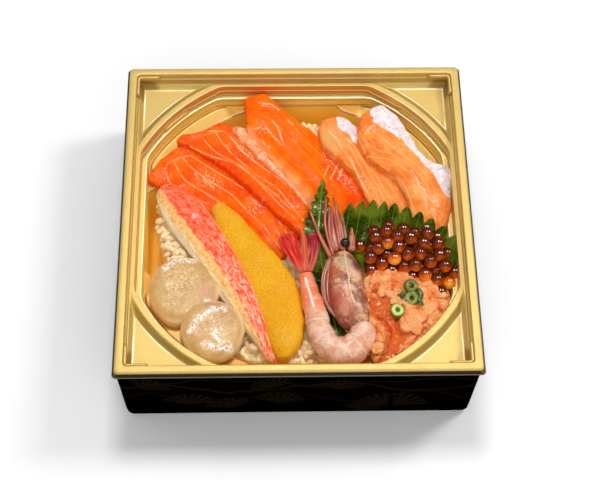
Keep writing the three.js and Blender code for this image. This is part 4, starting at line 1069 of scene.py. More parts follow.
def crab_look():
    look = Look("crab_meat", inside=(0.15, 0.002, (1.0, 0.4, 0.2)), roughness=0.45, specular_ior_level=0.1)
    along, across = look.layer("along"), look.layer("across")
    fibre = look.stretched((along, 26.0), (across, 5.0), (along, 8.0), detail=5, rough=0.6, distortion=1.0)
    mottle = look.noise(1.4, detail=4, rough=0.65)
    wobble = look.times(look.minus(look.noise(3.2, detail=4), 0.5), 0.4)
    edge = look.plus(look.plus(across, wobble), look.between(along, 0.0, 0.7, 0.34, 0.0))
    red = look.mix(look.between(mottle, 0.35, 0.62), (234, 58, 22), (250, 110, 68))
    white_share = look.times(look.between(fibre, 0.44, 0.62), look.between(along, 0.15, 0.7, 0.25, 1.0))
    red = look.mix(white_share, red, (253, 196, 160))
    orange = look.mix(look.between(mottle, 0.4, 0.62), (248, 176, 92), (255, 212, 146))
    cream = look.mix(look.between(fibre, 0.4, 0.6), (250, 212, 150), (255, 238, 198))
    look.base(look.between(edge, -0.55, -0.35), cream, orange)
    look.paint(look.between(edge, -0.12, 0.04), red)
    look.paint(look.between(along, 0.004, 0.03, 0.95, 0.0), (244, 212, 160))
    # Painted shade: a darker line in the crease beside the pale flap.
    crease = look.size(look.plus(edge, look.between(along, 0.2, 0.9, 0.62, 0.72)))
    look.paint(look.between(crease, 0.0, 0.07, 0.45, 0.0), (206, 140, 72))
    # The pale membrane at the far left, painted near white, which also lightens the shaded flank as painted
    # light.
    look.paint(look.between(across, -0.88, -0.76, 0.95, 0.0), (255, 246, 224))
    look.paint(look.between(across, 0.86, 1.0, 0.0, 0.5), (255, 210, 174))
    look.press(fibre, 0.14, 0.6)
    look.press(mottle, 0.06, 0.5)
    look.film((look.noise(1.6, detail=2), 0.08), (fibre, 0.06), most=0.7)
    return look.done()


def make_crab():
    body, layers = slab(CRAB_LEG, rows=260, wave=0.5, wave_size=4, edge=0.35, seed=21)
    piece("crab_meat", body, crab_look(), replaces="crab_leg", layers=layers)


def herring_roe_look():
    look = Look("herring_eggs", inside=(0.12, 0.0015, (1.0, 0.6, 0.2)),
                roughness=0.34, specular_ior_level=0.15)
    grain = look.spots(0.62)
    tone = look.noise(16, detail=2)
    look.base(look.between(tone, 0.35, 0.65), (234, 164, 4), (240, 178, 16))
    look.paint(look.between(look.layer("along"), 0.0, 0.3, 0.4, 0.0), (232, 156, 44))
    look.paint(look.between(grain, 0.1, 0.45, 0.5, 0.0), (252, 206, 84))
    look.paint(look.between(grain, 0.45, 0.75, 0.0, 0.5), (216, 134, 0))
    look.press(look.minus(1.0, grain), 0.18, 0.7)
    look.film((look.minus(1.0, grain), 0.06), least=0.0, most=0.15)
    return look.done()


def make_herring_roe():
    body, layers = slab(HERRING_ROE, rows=220, wave=0.4, wave_size=6, edge=0.7, seed=31)
    piece("herring_eggs", body, herring_roe_look(), replaces="herring_roe", layers=layers)


# Mounds, limbs and scattered things

SCALLOP_BACK = {
    "centre": (-48, -30.6), "reach": [15, 15.2, 15.8, 16, 15.4, 14.8, 15.2, 16, 15.2, 14.6],
    "floor": 27.5, "rim": 31.5, "top": 36.8, "flat": 3.6, "foot": 0.9}
SCALLOP_FRONT = {
    "centre": (-35.8, -50.2), "reach": [13.4, 13.6, 13.6, 14, 14.2, 13.4, 13, 13.2, 13.8, 13.6],
    "floor": 29, "rim": 33.2, "top": 38.4, "flat": 3.6, "foot": 0.9}
MINCED_SALMON = {
    "centre": (45, -43.5), "reach": [18.5, 20.5, 19, 20.5, 25, 20, 16.5, 18.5, 24.5, 18, 14, 15.5],
    "floor": 29, "rim": 33, "top": 40.2, "flat": 2.4, "foot": 0.92}
SALMON_ROE = {
    "centre": (47, -15), "reach": [20, 17, 14.5, 13, 14.5, 19, 20, 13, 9, 10, 16, 23],
    "floor": 34, "rim": 35, "top": 39.6, "flat": 2.2, "foot": 0.9}
RICE = {
    "centre": (0, 0),
    "reach": [61.5, 62, 64, 63, 60.5, 60, 61, 63, 64, 61, 57, 58, 63, 64.5, 63.5, 64, 63, 62],
    "floor": 5.35, "rim": 15, "top": 29, "flat": 3.6, "foot": 0.97}


def reach_at(form, angle):
    """Reach of an uneven round outline, from reaches spaced evenly round the turn."""
    reaches = np.array(form["reach"], float)
    count = len(reaches)
    place = np.mod(angle / TURN, 1) * count
    k = np.floor(place).astype(int)
    t = place - k
    a, b, c, d = (reaches[(k + shift) % count] for shift in (-1, 0, 1, 2))
    return b + 0.5 * t * (c - a + t * (2 * a - 5 * b + 4 * c - d + t * (3 * (b - c) + d - a)))


def mound_share(form, x, y):
    dx, dy = x - form["centre"][0], y - form["centre"][1]
    return np.hypot(dx, dy) / reach_at(form, np.arctan2(dy, dx))


def mound_top(form, share):
    """Height of a mound at a share of the way from its middle to its outline."""
    fall = np.minimum(share, 1) ** form["flat"]
    return form["rim"] + (form["top"] - form["rim"]) * (1 - fall) ** (1 / form["flat"])


def mound(form, rows=110, columns=240, ragged=0.0, seed=0):
    """An uneven round heap, with the share of the way out as a layer."""
    angle = np.linspace(0, TURN, columns, endpoint=False)
    reach = reach_at(form, angle)
    edge = np.stack([np.cos(angle), np.sin(angle), 0 * angle], -1) * 10
    reach = reach + ragged * noise(edge, 3.0, seed, 2)
    side = np.linspace(0, 1, 12)[:-1]
    top = np.sin(np.linspace(0.999, 0.004, rows) * TURN / 4)
    shares = np.concatenate([form["foot"] + (1 - form["foot"]) * np.sin(side * TURN / 4), top])
    heights = np.concatenate([form["floor"] + (form["rim"] - form["floor"]) * side, mound_top(form, top)])
    x = form["centre"][0] + shares[:, None] * reach * np.cos(angle)
    y = form["centre"][1] + shares[:, None] * reach * np.sin(angle)
    rings = np.stack([x, y, np.broadcast_to(heights[:, None], x.shape)], -1)
    out = np.repeat(shares, columns)
    return ring_form(rings), {"out": np.concatenate([out, [form["foot"], 0]])}


def normals(points, faces):
    total = np.zeros_like(points)
    for face in faces:
        a, b, c = points[face[:, 0]], points[face[:, 1]], points[face[:, -1]]
        normal = np.cross(b - a, c - a)
        for corner in range(face.shape[1]):
            np.add.at(total, face[:, corner], normal)
    return unit(total)


def swollen(form, amount):
    """A form with each point moved along its normal."""
    points, faces = form
    return points + normals(points, faces) * amount[:, None], faces


def limb(stations, steps=60, sides=24, tips=(0.06, 0.06), swell=None):
    """A bent round limb through stations of x, y, z, half width and half height."""
    stations = np.array(stations, float)
    u = (1 - np.cos(np.pi * np.linspace(0, 1, steps + 1))) / 2
    path = lambda share: curve_at(stations[:, :3], share)
    centre = path(u)
    along = unit(path(np.minimum(1, u + 0.01)) - path(np.maximum(0, u - 0.01)))
    across = unit(np.cross(along, [0, 0, 1]))
    up = np.cross(across, along)
    from_end = np.minimum(np.minimum(u / tips[0], (1 - u) / tips[1]), 1)
    taper = np.maximum(0.04, np.sqrt(1 - (1 - from_end) ** 2))
    size = curve_at(np.pad(stations[:, 3:], ((0, 0), (0, 1))), u)[:, :2] * taper[:, None]
    length = np.concatenate([[0], np.cumsum(np.linalg.norm(np.diff(centre, axis=0), axis=1))])
    angle = np.linspace(0, TURN, sides, endpoint=False)
    if swell:
        size = size * swell(length / length[-1])[:, None]
    wide = across[:, None] * (size[:, :1] * np.cos(angle))[..., None]
    tall = up[:, None] * (size[:, 1:] * np.sin(angle))[..., None]
    flat = lambda values: np.broadcast_to(values, (steps + 1, sides)).reshape(-1)
    layers = {"along": np.concatenate([flat((length / length[-1])[:, None]), [0, 1]]),
              "side": np.concatenate([flat(np.cos(angle)), [0, 0]]),
              "upward": np.concatenate([flat(np.sin(angle)), [0, 0]])}
    return ring_form(centre[:, None] + wide + tall), layers


def gathered(parts):
    """Several (form, layers) as one."""
    layers = {name: np.concatenate([layers[name] for _, layers in parts]) for name in parts[0][1]}
    return joined([form for form, _ in parts]), layers


def ball(rows=10, columns=16, profile=None):
    """A round form of reach 1 along Z, from rings whose radius follows the profile."""
    height = -np.cos(np.pi * np.linspace(0.03, 0.97, rows))
    radius = np.sqrt(1 - height ** 2) if profile is None else profile(height)
    angle = np.linspace(0, TURN, columns, endpoint=False)
    x, y = radius[:, None] * np.cos(angle), radius[:, None] * np.sin(angle)
    return ring_form(np.stack([x, y, np.broadcast_to(height[:, None], x.shape)], -1))


def turns(yaw, lean, roll):
    """Turning matrices: roll about Z, lean about Y, then yaw about Z."""
    def about_z(angle):
        cos, sin, none = np.cos(angle), np.sin(angle), 0 * angle
        return np.stack([cos, -sin, none, sin, cos, none, none, none, none + 1], -1).reshape(-1, 3, 3)
    cos, sin, none = np.cos(lean), np.sin(lean), 0 * lean
    about_y = np.stack([cos, none, sin, none, none + 1, none, -sin, none, cos], -1).reshape(-1, 3, 3)
    return about_z(yaw) @ about_y @ about_z(roll)


def scattered(template, places, turned, sizes):
    """Copies of a form at places, each with its turn and its sizes along its own X, Y and Z."""
    points, faces = template
    moved = np.einsum("nij,nvj->nvi", turned, points[None] * sizes[:, None]) + places[:, None]
    count = np.arange(len(places))[:, None, None] * len(points)
    return moved.reshape(-1, 3), [(face[None] + count).reshape(-1, face.shape[1]) for face in faces]


def spread(form, gap, seed, outermost=1.0):
    """Places at least a gap apart over a mound's outline."""
    random = np.random.default_rng(seed)
    reach = max(form["reach"])
    tries = random.uniform(-reach, reach, (int(14 * (reach / gap) ** 2), 2)) + form["centre"]
    tries = tries[mound_share(form, tries[:, 0], tries[:, 1]) < outermost]
    kept = np.empty((0, 2))
    for place in tries:
        if len(kept) == 0 or np.min(np.sum((kept - place) ** 2, axis=1)) > gap ** 2:
            kept = np.vstack([kept, place])
    return kept


# Scallops

def scallop_look(name, shaded):
    """Scallop flesh: cloudy, finely flecked, with a painted shadow near the crab, a rim painted lighter, and
    painted highlights: bright flecks along lines and fine glints in fields.
    """
    look = Look(name, inside=(0.3, 0.003, (1.0, 0.6, 0.4)), roughness=0.3, specular_ior_level=0.3)
    out = look.layer("out")
    cloud = look.noise(9, detail=3)
    fibre = look.noise(0.9, detail=3, rough=0.6, distortion=2.0)
    patch = look.cloud(7, 0.28, 0.45, detail=2)
    look.base(look.between(cloud, 0.3, 0.7), (198, 148, 82), (212, 168, 100))
    # Painted shadow: darker near the place where the crab lies over the scallop.
    look.paint(look.between(look.near(shaded, 14), 0.0, 1.0, 0.7, 0.0), (196, 136, 98))
    flecks = look.times(look.between(fibre, 0.49, 0.6), patch)
    flecks = look.times(flecks, look.between(out, 0.75, 0.92, 0.42, 0.0))
    look.paint(flecks, (250, 224, 172))
    # Painted light: the rim is painted lighter, as if lit through its thin edge.
    look.paint(look.between(out, 0.84, 1.0, 0.0, 0.7), (248, 216, 168))
    # Painted highlights: fine glints in fields, and bright flecks along the sheen lines.
    speck = look.cloud(0.85, 0.53, 0.62, distortion=1.4)
    look.paint(look.times(speck, look.layer("painted_glint")), (255, 238, 200))
    wet_sheen = look.times(look.layer("sheen_band"), look.cloud(1.3, 0.42, 0.56, distortion=1.0))
    look.paint(wet_sheen, (255, 250, 238))
    look.press(fibre, 0.07, 0.6)
    look.press(look.noise(4, detail=2), 0.3, 0.6)
    look.film((look.noise(3.2, detail=2), 0.2), (fibre, 0.05), least=0.2, most=0.6)
    return look.done()


# Each scallop's form, place of its painted shadow, lines of painted highlight, fields of painted glints, and
# seed
SCALLOPS = [
    ("scallop_back", SCALLOP_BACK, (-36, -36, 36),
     [[(-57, -21.5), (-50.5, -17.2), (-44, -17.4)], [(-38, -37), (-33, -39)]],
     [(-50, -28, 10, 9, 0.4, 0.7), (-54, -37, 5, 4, 0, 0.6)], 3),
    ("scallop_front", SCALLOP_FRONT, (-32, -40, 38),
     [[(-44.6, -51.6), (-42.7, -47.8), (-39.8, -44.5), (-35.8, -41), (-30.7, -41.3)],
      [(-38.5, -57.2), (-33.5, -58.8), (-28.1, -59.2)], [(-35.1, -51.2), (-32.6, -55), (-28.6, -57.8)]],
     [(-32.5, -51, 8, 4.5, -0.9, 0.8), (-38, -45, 6, 4, 0.6, 0.7)], 4)]


def make_scallops():
    for name, form, shaded, sheen_bands, fields, seed in SCALLOPS:
        body, layers = mound(form, ragged=0.5, seed=seed)
        points = body[0]
        swell = 0.8 * noise(points, 9, seed) + 0.2 * noise(points, 3.5, seed + 1)
        # Where painted highlights go: bright lines and fields of fine glints
        layers["sheen_band"] = near_lines(points, sheen_bands, 2.2)
        layers["painted_glint"] = painted_glint_fields(points, fields)
        piece(name + "_flesh", swollen(body, swell * smooth(points[:, 2], 28, 33)),
              scallop_look(name, shaded), replaces=name, layers=layers)


# Salmon eggs: those that show on top at their own places, and more under them

EGG_RADIUS = 2.95
TOP_EGGS = [
    (38.6, -5.9), (45.8, -5.3), (56.1, -7.4), (34.2, -8.5), (28, -11.3), (42.1, -9.5), (49, -9.6),
    (34.8, -13), (54.3, -11.9), (59.6, -12.8), (43.5, -13.6), (60.7, -17.2), (38.7, -12.4), (32.6, -17.4),
    (35.9, -20.6), (41.9, -19.4), (51.6, -17.2), (55.8, -20.2), (61.8, -22.4), (49.5, -22.3), (54.2, -25.4),
    (59.4, -27.4), (64.2, -28.6), (60.2, -33), (47.3, -16.8), (46.4, -21.6)]
BRIGHT_EGGS = {(64.2, -28.6): 1.0, (41.9, -19.4): 0.75, (54.2, -25.4): 0.35, (38.7, -12.4): 0.5}
LOWER_EGGS = 30
EGG_GAP = 1.93 * EGG_RADIUS
EGG_STEPS = 200
# The side of each egg that is painted brighter, as light focused through it
LIT_SIDE = np.array([0.1, -0.8, -0.55])
# Directions on each egg where a painted highlight dot sits, where the two lamps' glints fall
PAINTED_GLINTS = [(-0.095, -0.091, 0.991), (0.249, -0.109, 0.962)]


def egg_places():
    """Egg middles, pushed apart until none overlap, the named ones kept near where they show."""
    random = np.random.default_rng(4)
    named = np.array(TOP_EGGS, float)
    extra = spread(SALMON_ROE, 4.4, 9, 0.92)[:LOWER_EGGS]
    flat = np.concatenate([named, extra])
    on_top = np.arange(len(flat)) < len(named)
    share = mound_share(SALMON_ROE, flat[:, 0], flat[:, 1])
    height = mound_top(SALMON_ROE, share) + np.where(on_top, 0.1, -4.2) + random.uniform(-0.4, 0.4, len(flat))
    places = np.concatenate([flat, height[:, None]], 1)
    home = places.copy()
    low = SALMON_ROE["floor"] + 1.5
    pull = np.where(on_top, 0.12, 0.02)[:, None]
    for step in range(EGG_STEPS):
        apart = places[:, None] - places[None]
        far = np.linalg.norm(apart, axis=-1) + 1e-6
        push = np.maximum(0, EGG_GAP - far) / far
        np.fill_diagonal(push, 0)
        places += 0.35 * np.sum(apart * push[..., None], axis=1)
        places += (home - places) * pull * [1, 1, 0.6]
        share = mound_share(SALMON_ROE, places[:, 0], places[:, 1])
        places[:, 2] = np.clip(places[:, 2], low, mound_top(SALMON_ROE, share) + 0.6)
    bright = np.array([BRIGHT_EGGS.get(tuple(place), 0) for place in TOP_EGGS] + [0.1] * len(extra))
    return places, bright


def egg_look():
    look = Look("egg_skin", inside=(0.1, 0.001, (1.0, 0.3, 0.05)),
                roughness=0.1, specular_ior_level=0.0, coat_weight=1.0, coat_roughness=0.03)
    look.set("Coat IOR", 1.4)
    outward = look.vector(look.layer("east"), look.layer("north"), look.layer("up"))
    # Painted highlights: a small light dot on each egg where each lamp's glint falls.
    glints = 0.0
    for direction in PAINTED_GLINTS:
        facing = look.node("ShaderNodeVectorMath", {0: outward, 1: direction},
                           operation="DOT_PRODUCT").outputs["Value"]
        glints = look.most(glints, look.between(facing, 0.984, 0.991))
    # Painted light: each egg is painted brighter orange toward its lit side, as light focused through it, and
    # darker away from it.
    lit, bright = look.layer("lit"), look.layer("bright")
    painted_glow = look.plus(lit, look.times(look.minus(look.noise(2.4), 0.5), 0.9))
    painted_glow = look.plus(painted_glow, bright)
    look.shade = look.ramp(look.between(painted_glow, -0.6, 1.3),
                           [(0.0, (84, 18, 0)), (0.3, (144, 46, 0)), (0.6, (214, 92, 0)),
                            (0.85, (255, 144, 14)), (1.0, (255, 176, 50))])
    look.paint(glints, (255, 248, 240))
    return look.done()


def make_salmon_roe():
    random = np.random.default_rng(8)
    places, bright = egg_places()
    count = len(places)
    template = ball(13, 22)
    sizes = EGG_RADIUS * random.uniform(0.95, 1.03, (count, 3))
    turned = turns(*random.uniform(0, TURN, (3, count)))
    form = scattered(template, places, turned, sizes)
    local = (form[0].reshape(count, -1, 3) - places[:, None]) / EGG_RADIUS
    # The lit side's share sets how bright each part of an egg is painted.
    layers = {"lit": (local @ LIT_SIDE).reshape(-1), "bright": np.repeat(bright, local.shape[1])}
    layers.update(zip(("east", "north", "up"), unit(local).reshape(-1, 3).T))
    piece("salmon_eggs", form, egg_look(), replaces="salmon_roe", layers=layers)


# Minced salmon with onion rings

ONION = {"outer": 2.9, "inner": 0.9, "height": 2.4}
# Each ring's place x, y, z of its top, how far and which way it leans, how dark it is, and its hole's share
ONION_PLACES = [
    (41.2, -44.4, 42.0, 0.1, 0.2, 0.0, 0.25), (47.6, -33.6, 42.2, 0.55, 0.4, 0.75, 1),
    (47.2, -39.2, 42.3, 0.6, -0.5, 0.6, 0.9)]
ONION_SLIVERS = [
    [(44.4, -35.5, 41.3, 0.9, 0.5), (43.2, -37.5, 41.1, 1, 0.6), (41.6, -36.8, 40.7, 0.4, 0.3)],
    [(49.8, -38, 41.5, 1, 0.6), (50.8, -40.5, 41.2, 1.1, 0.7), (52.2, -42.2, 40.4, 0.5, 0.3)],
    [(50.2, -34.5, 41.4, 0.9, 0.6), (51.4, -37, 41.2, 1.1, 0.6), (50.8, -39.2, 41.2, 0.6, 0.4)]]
FLAKES = 30
MINCE_CREASES = [
    [(28, -31), (30.6, -33.5), (32.8, -34.1), (37.1, -37.9), (43.1, -42.3)],
    [(43.1, -42.3), (41.1, -47.2), (41.4, -52), (44, -54.5), (46.9, -54), (49.5, -52.7)],
    [(32.3, -45.9), (35.5, -48.9), (37.5, -53.8), (36.2, -58), (35.5, -60.7), (33.2, -65.1)],
    [(26, -54), (29, -55.5), (32.7, -58), (36.2, -58)], [(47, -30), (50, -36), (56, -39), (60, -44)]]
SAUCE = [(31, -36.5), (37, -39), (43, -43.5), (41, -47.5), (41.5, -52), (45, -56), (40, -63), (36, -62),
         (37.5, -54), (35.5, -49), (31, -45.5), (28.5, -40)]


def mince_look():
    look = Look("mince_flesh", inside=(0.15, 0.002, (1.0, 0.45, 0.2)),
                roughness=0.5, specular_ior_level=0.0)
    hollow_shade, tone = look.layer("hollow_shade"), look.layer("tone")
    cloud = look.noise(6, detail=3)
    fine = look.noise(0.9, detail=4, rough=0.6, distortion=2.2)
    look.base(look.between(cloud, 0.35, 0.65), (246, 138, 70), (255, 178, 116))
    look.paint(look.between(tone, 0.2, 0.9), (224, 92, 0))
    # Painted shade: darker in the creases and on the undersides of the flakes.
    look.paint(look.between(hollow_shade, 0.0, 1.0, 0.75, 0.0), (212, 78, 12))
    look.paint(look.between(fine, 0.52, 0.75, 0.0, 0.5), (255, 204, 150))
    look.press(fine, 0.24, 0.8)
    # Painted highlights: fine light specks in patches.
    speck = look.cloud(0.75, 0.6, 0.67, detail=2, distortion=1.6)
    speck = look.times(speck, look.cloud(5, 0.42, 0.58, 0.15, 0.85, detail=2))
    look.paint(speck, (255, 210, 164))
    look.film((look.noise(1.7, detail=2), 0.13), least=0.25, most=0.9)
    return look.done()


def onion_look():
    look = Look("onion", roughness=0.3, subsurface_weight=0.15, subsurface_scale=0.001)
    radius, dark = look.layer("radius"), look.layer("dark")
    look.shade = look.ramp(radius,
                           [(0.3, (96, 98, 30)), (0.5, (200, 206, 104)),
                            (0.78, (186, 198, 84)), (0.95, (96, 128, 24))])
    look.paint(look.times(dark, look.cloud(2, 0.3, 0.6, 0.45, 1.0)), (34, 66, 12))
    look.press(look.noise(0.6), 0.08, 0.5)
    return look.done()


def make_mince():
    random = np.random.default_rng(6)
    body, layers = mound(MINCED_SALMON, 150, 300, ragged=1.6, seed=5)
    points = body[0]
    bent = points + 2.0 * np.stack([noise(points, 5, 40 + k) for k in range(3)], -1)
    crease = 1 - smooth(np.abs(noise(bent, 6.5, 2, 2)), 0, 0.16)
    small = 1 - smooth(np.abs(noise(bent, 3.2, 4, 2)), 0, 0.2)
    deep = near_lines(points, MINCE_CREASES, 1.5)
    sauce = within(points, SAUCE, 1.2)
    rough = 1 - 0.75 * sauce
    swell = 1.1 * noise(points, 6, 7, 2) - (0.9 * crease + 0.45 * small) * rough - 1.5 * deep - 1.2 * sauce
    swell += rough * (0.45 * noise(bent, 1.6, 8, 2) + 0.2 * noise(bent, 0.8, 9, 2)) + 0.5
    swell *= smooth(points[:, 2], 29.5, 33.5)
    body = swollen(body, swell)
    # Painted shade mask: low in the creases, where darker colour is painted.
    layers = {"hollow_shade": 1 - np.clip(0.6 * crease + 0.3 * small + deep, 0, 1), "tone": sauce}
    flat = spread(MINCED_SALMON, 4.6, 12, 0.95)[:FLAKES]
    flat = flat[within(np.pad(flat, ((0, 0), (0, 1))), SAUCE, 1.2) < 0.3]
    count = len(flat)
    share = mound_share(MINCED_SALMON, flat[:, 0], flat[:, 1])
    places = np.stack([flat[:, 0], flat[:, 1],
                       mound_top(MINCED_SALMON, share) + random.uniform(-0.5, 0.2, count)], -1)
    sizes = np.stack([random.uniform(2.6, 4.2, count), random.uniform(1.6, 2.6, count),
                      random.uniform(0.6, 1.1, count)], -1)
    turned = turns(random.uniform(0, TURN, count), random.uniform(-0.5, 0.5, count),
                   random.uniform(0, TURN, count))
    template = ball(30, 36)
    flakes = scattered(template, places, turned, sizes)
    ruffle = 0.9 * noise(flakes[0], 2.6, 21) + 0.4 * noise(flakes[0], 1.1, 22)
    flakes = swollen(flakes, ruffle)
    lift = flakes[0][:, 2] - np.repeat(places[:, 2], len(template[0]))
    # Low on each flake's underside, so it is painted darker as shade.
    flake_layers = {"hollow_shade": smooth(lift, -1.6, 0.2), "tone": 0 * lift}
    form, layers = gathered([(body, layers), (flakes, flake_layers)])
    piece("mince", form, mince_look(), replaces="minced_salmon", layers=layers)
    rings = []
    for x, y, z, lean, way, dark, hole in ONION_PLACES:
        outer, inner, high = ONION["outer"], ONION["inner"] * hole, ONION["height"]
        section = [(inner, -high), (outer * 0.94, -high), (outer, -high * 0.8), (outer, -0.3),
                   (outer * 0.95, 0), (outer * 0.8, 0.05), (inner * 1.4 + 0.1, -0.05), (inner, -0.3)]
        angle = np.linspace(0, TURN, 40, endpoint=False)
        loops = np.array([[(r * np.cos(a), r * np.sin(a), h) for r, h in section] for a in angle])
        loops = loops.reshape(-1, 3)
        points = (loops + 0.15 * noise(loops, 2, 3)[:, None]) @ rotation(lean, way).T
        faces = grid_faces(len(angle), len(section))
        last = np.arange(len(section)) + (len(angle) - 1) * len(section)
        closing = np.stack([last, np.roll(last, -1), (np.arange(len(section)) + 1) % len(section),
                            np.arange(len(section))], -1)
        radius = np.tile([r for r, _ in section], len(angle)) / outer
        rings.append(((points + (x, y, z), [faces, closing]),
                      {"radius": radius, "dark": np.full(len(points), dark)}))
    for stations in ONION_SLIVERS:
        form, layers = limb(stations, 24, 12)
        rings.append((form, {"radius": 0 * layers["side"] + 0.9, "dark": 0 * layers["side"] + 1.0}))
    form, layers = gathered(rings)
    piece("onion_rings", form, onion_look(), layers=layers)


# Leaves: a sheet about a spine, with half widths on either hand and teeth along both edges

SHISO_LARGE = {
    "spine": [(17, -13, 34.2), (32, -13.5, 33.8), (46, -14.5, 33.8), (58, -17.5, 35), (67.3, -23, 37.2)],
    "sides": [(20, 22.5, 22, 19, 15, 11.5, 0.6), (4, 8, 11, 12, 11, 8, 0.6)],
    "lift": (4.4, 0.6), "tooth": 4.7, "depth": 4.6, "lean": 0.05, "ripple": 0.5}
SHISO_SMALL = {
    "spine": [(17.5, -57, 30.1), (15, -42, 30.4), (11.5, -24, 32.6), (9.5, -8, 36.6), (10.5, 7, 38.4),
              (12, 20, 38.6)],
    "sides": [(2, 6.5, 7.5, 6, 6, 3, 0.5), (2, 6.5, 7, 6, 6, 3.4, 0.5)],
    "lift": (0.3, 0.3), "tooth": 4.2, "depth": 3, "lean": 0.3, "ripple": 0.3}
LEAF_SHEET = 0.5


def leaf(form, rows=330, columns=89, seed=0):
    """Upper face of a leaf, with the place along its spine in teeth and the distance out as layers."""
    u = np.linspace(0, 1, rows)
    spine = curve_at(form["spine"], u)
    step = curve_at(form["spine"], np.minimum(1, u + 0.01)) - curve_at(form["spine"], np.maximum(0, u - 0.01))
    along = unit(step * [1, 1, 0])
    across = np.stack([-along[:, 1], along[:, 0], 0 * u], -1)
    length = np.concatenate([[0], np.cumsum(np.linalg.norm(np.diff(spine, axis=0), axis=1))])
    v = np.linspace(-1, 1, columns)
    share = np.abs(v)
    widths = [np.interp(u * (len(side) - 1), np.arange(len(side)), side) for side in form["sides"]]
    hand = (v < 0).astype(int)
    half = np.where(hand[None] == 1, widths[1][:, None], widths[0][:, None])
    phase = length[:, None] / form["tooth"] + 0.37 * hand[None]
    part = np.mod(phase, 1)
    apart = np.abs(part - 0.5) * 2
    lobe = 0.72 * (1 - apart ** 2.4) + 0.28 * (1 - apart)
    depth = np.minimum(form["depth"], 0.5 * half)
    out = half * share - depth * (1 - lobe) * share ** 5 + 0.25 * depth * share ** 5
    points = spine[:, None] + across[:, None] * (np.sign(v)[None] * out)[..., None]
    points = points + along[:, None] * (form["lean"] * depth * share ** 4 + 0.17 * out)[..., None]
    lift = np.array(form["lift"])[hand]
    flat = points.reshape(-1, 3)
    wave = form["ripple"] * noise(flat, 11, seed, 2).reshape(points.shape[:2]) * share
    pillow = 0.35 * np.sqrt(1 - apart ** 2 * 0.98) * smooth(share, 0.02, 0.3)
    points[..., 2] += lift * share ** 2 + wave + pillow
    layers = {"vein": phase.reshape(-1), "out": out.reshape(-1)}
    return (points.reshape(-1, 3), [grid_faces(rows, columns, False)]), layers


def leaf_look(name):
    look = Look(name, roughness=0.4, specular_ior_level=0.0)
    vein, out = look.layer("vein"), look.layer("out")
    away = look.size(look.minus(look.math("FRACT", vein), 0.5))
    side_vein = look.between(away, 0.0, 0.07, 1.0, 0.0)
    midrib = look.between(look.size(out), 0.3, 0.8, 1.0, 0.0)
    veins = look.most(side_vein, midrib)
    net = look.spots(2.2, feature="DISTANCE_TO_EDGE")
    fine = look.between(net, 0.0, 0.12, 1.0, 0.0)
    tone = look.cloud(8, 0.35, 0.65)
    look.base(tone, (32, 50, 0), (94, 108, 8))
    look.paint(look.times(fine, 0.25), (104, 118, 18))
    look.paint(look.times(veins, 0.6), (140, 152, 56))
    look.press(veins, -0.25, 0.7)
    look.press(fine, -0.12, 0.6)
    look.press(look.noise(0.7, detail=3), 0.06, 0.5)
    look.film((veins, -0.12), (look.noise(1.7, detail=1), 0.1), least=0.1, most=0.75)
    return look.done()


def make_leaves():
    for name, form, seed in (("shiso_large", SHISO_LARGE, 2), ("shiso_small", SHISO_SMALL, 3)):
        body, layers = leaf(form, seed=seed)
        blade = piece(name + "_blade", body, leaf_look(name), replaces=name, layers=layers)
        thicken(blade, LEAF_SHEET)


# Sweet shrimp

BELLY = [(3.6, -24, 36.5, 3, 2.6), (5, -33, 36.2, 4, 3.4), (7.6, -43, 35.8, 4.8, 4.4),
         (9.4, -52, 35.5, 5.4, 5), (14, -58.6, 35.5, 6, 5.2), (20.5, -59.6, 35.5, 6.2, 5.2),
         (26, -55, 35.6, 6, 5.2), (27, -47, 36, 5, 4.6)]
SHELL = [(26.6, -50, 35.6, 3.4, 3.4), (24, -45, 36, 7.4, 5.4), (21.2, -37, 36.4, 8.2, 6),
         (20.2, -27, 36.6, 7.8, 6), (19.6, -19.5, 36.8, 5.8, 5), (20, -14, 37, 3, 3)]
BELLY_RINGS = 7.4
# A painted highlight line along the tail's last shell ring
TAIL_PAINTED_GLEAM = [[(3.4, -28), (5, -34.7), (6.6, -41.5)]]
EYE = (20.6, -12, 40.6)
EYE_RADIUS = 2.1
# The lobes of the tail fan, each with its tone: 0 red, 0.5 pink, 1 crimson
FAN = [
    ([(3.2, -24, 36.8, 2, 1.2), (-1.4, -15.5, 37.6, 2.8, 0.9), (-4.4, -9.6, 38, 3, 0.8),
      (-6.2, -6, 38, 2, 0.6)], 0.0),
    ([(3.4, -24, 37.4, 1.6, 1.2), (0, -14, 38.2, 1.9, 0.9), (-1.6, -8.5, 38.6, 1.7, 0.8),
      (-2.4, -5.2, 38.6, 0.9, 0.5)],
     0.12),
    ([(3.8, -24, 37.2, 2, 1.4), (3.3, -14.5, 38, 1.5, 1), (3, -8.6, 38.4, 1.3, 0.8),
      (2.5, -4.8, 38.4, 0.8, 0.5)], 0.5),
    ([(4.4, -24, 36.8, 2, 1.2), (6.4, -16.4, 37.6, 2.6, 0.9), (7.2, -10, 38, 2.8, 0.8),
      (7.2, -5.8, 38, 2, 0.6)], 1.0)]
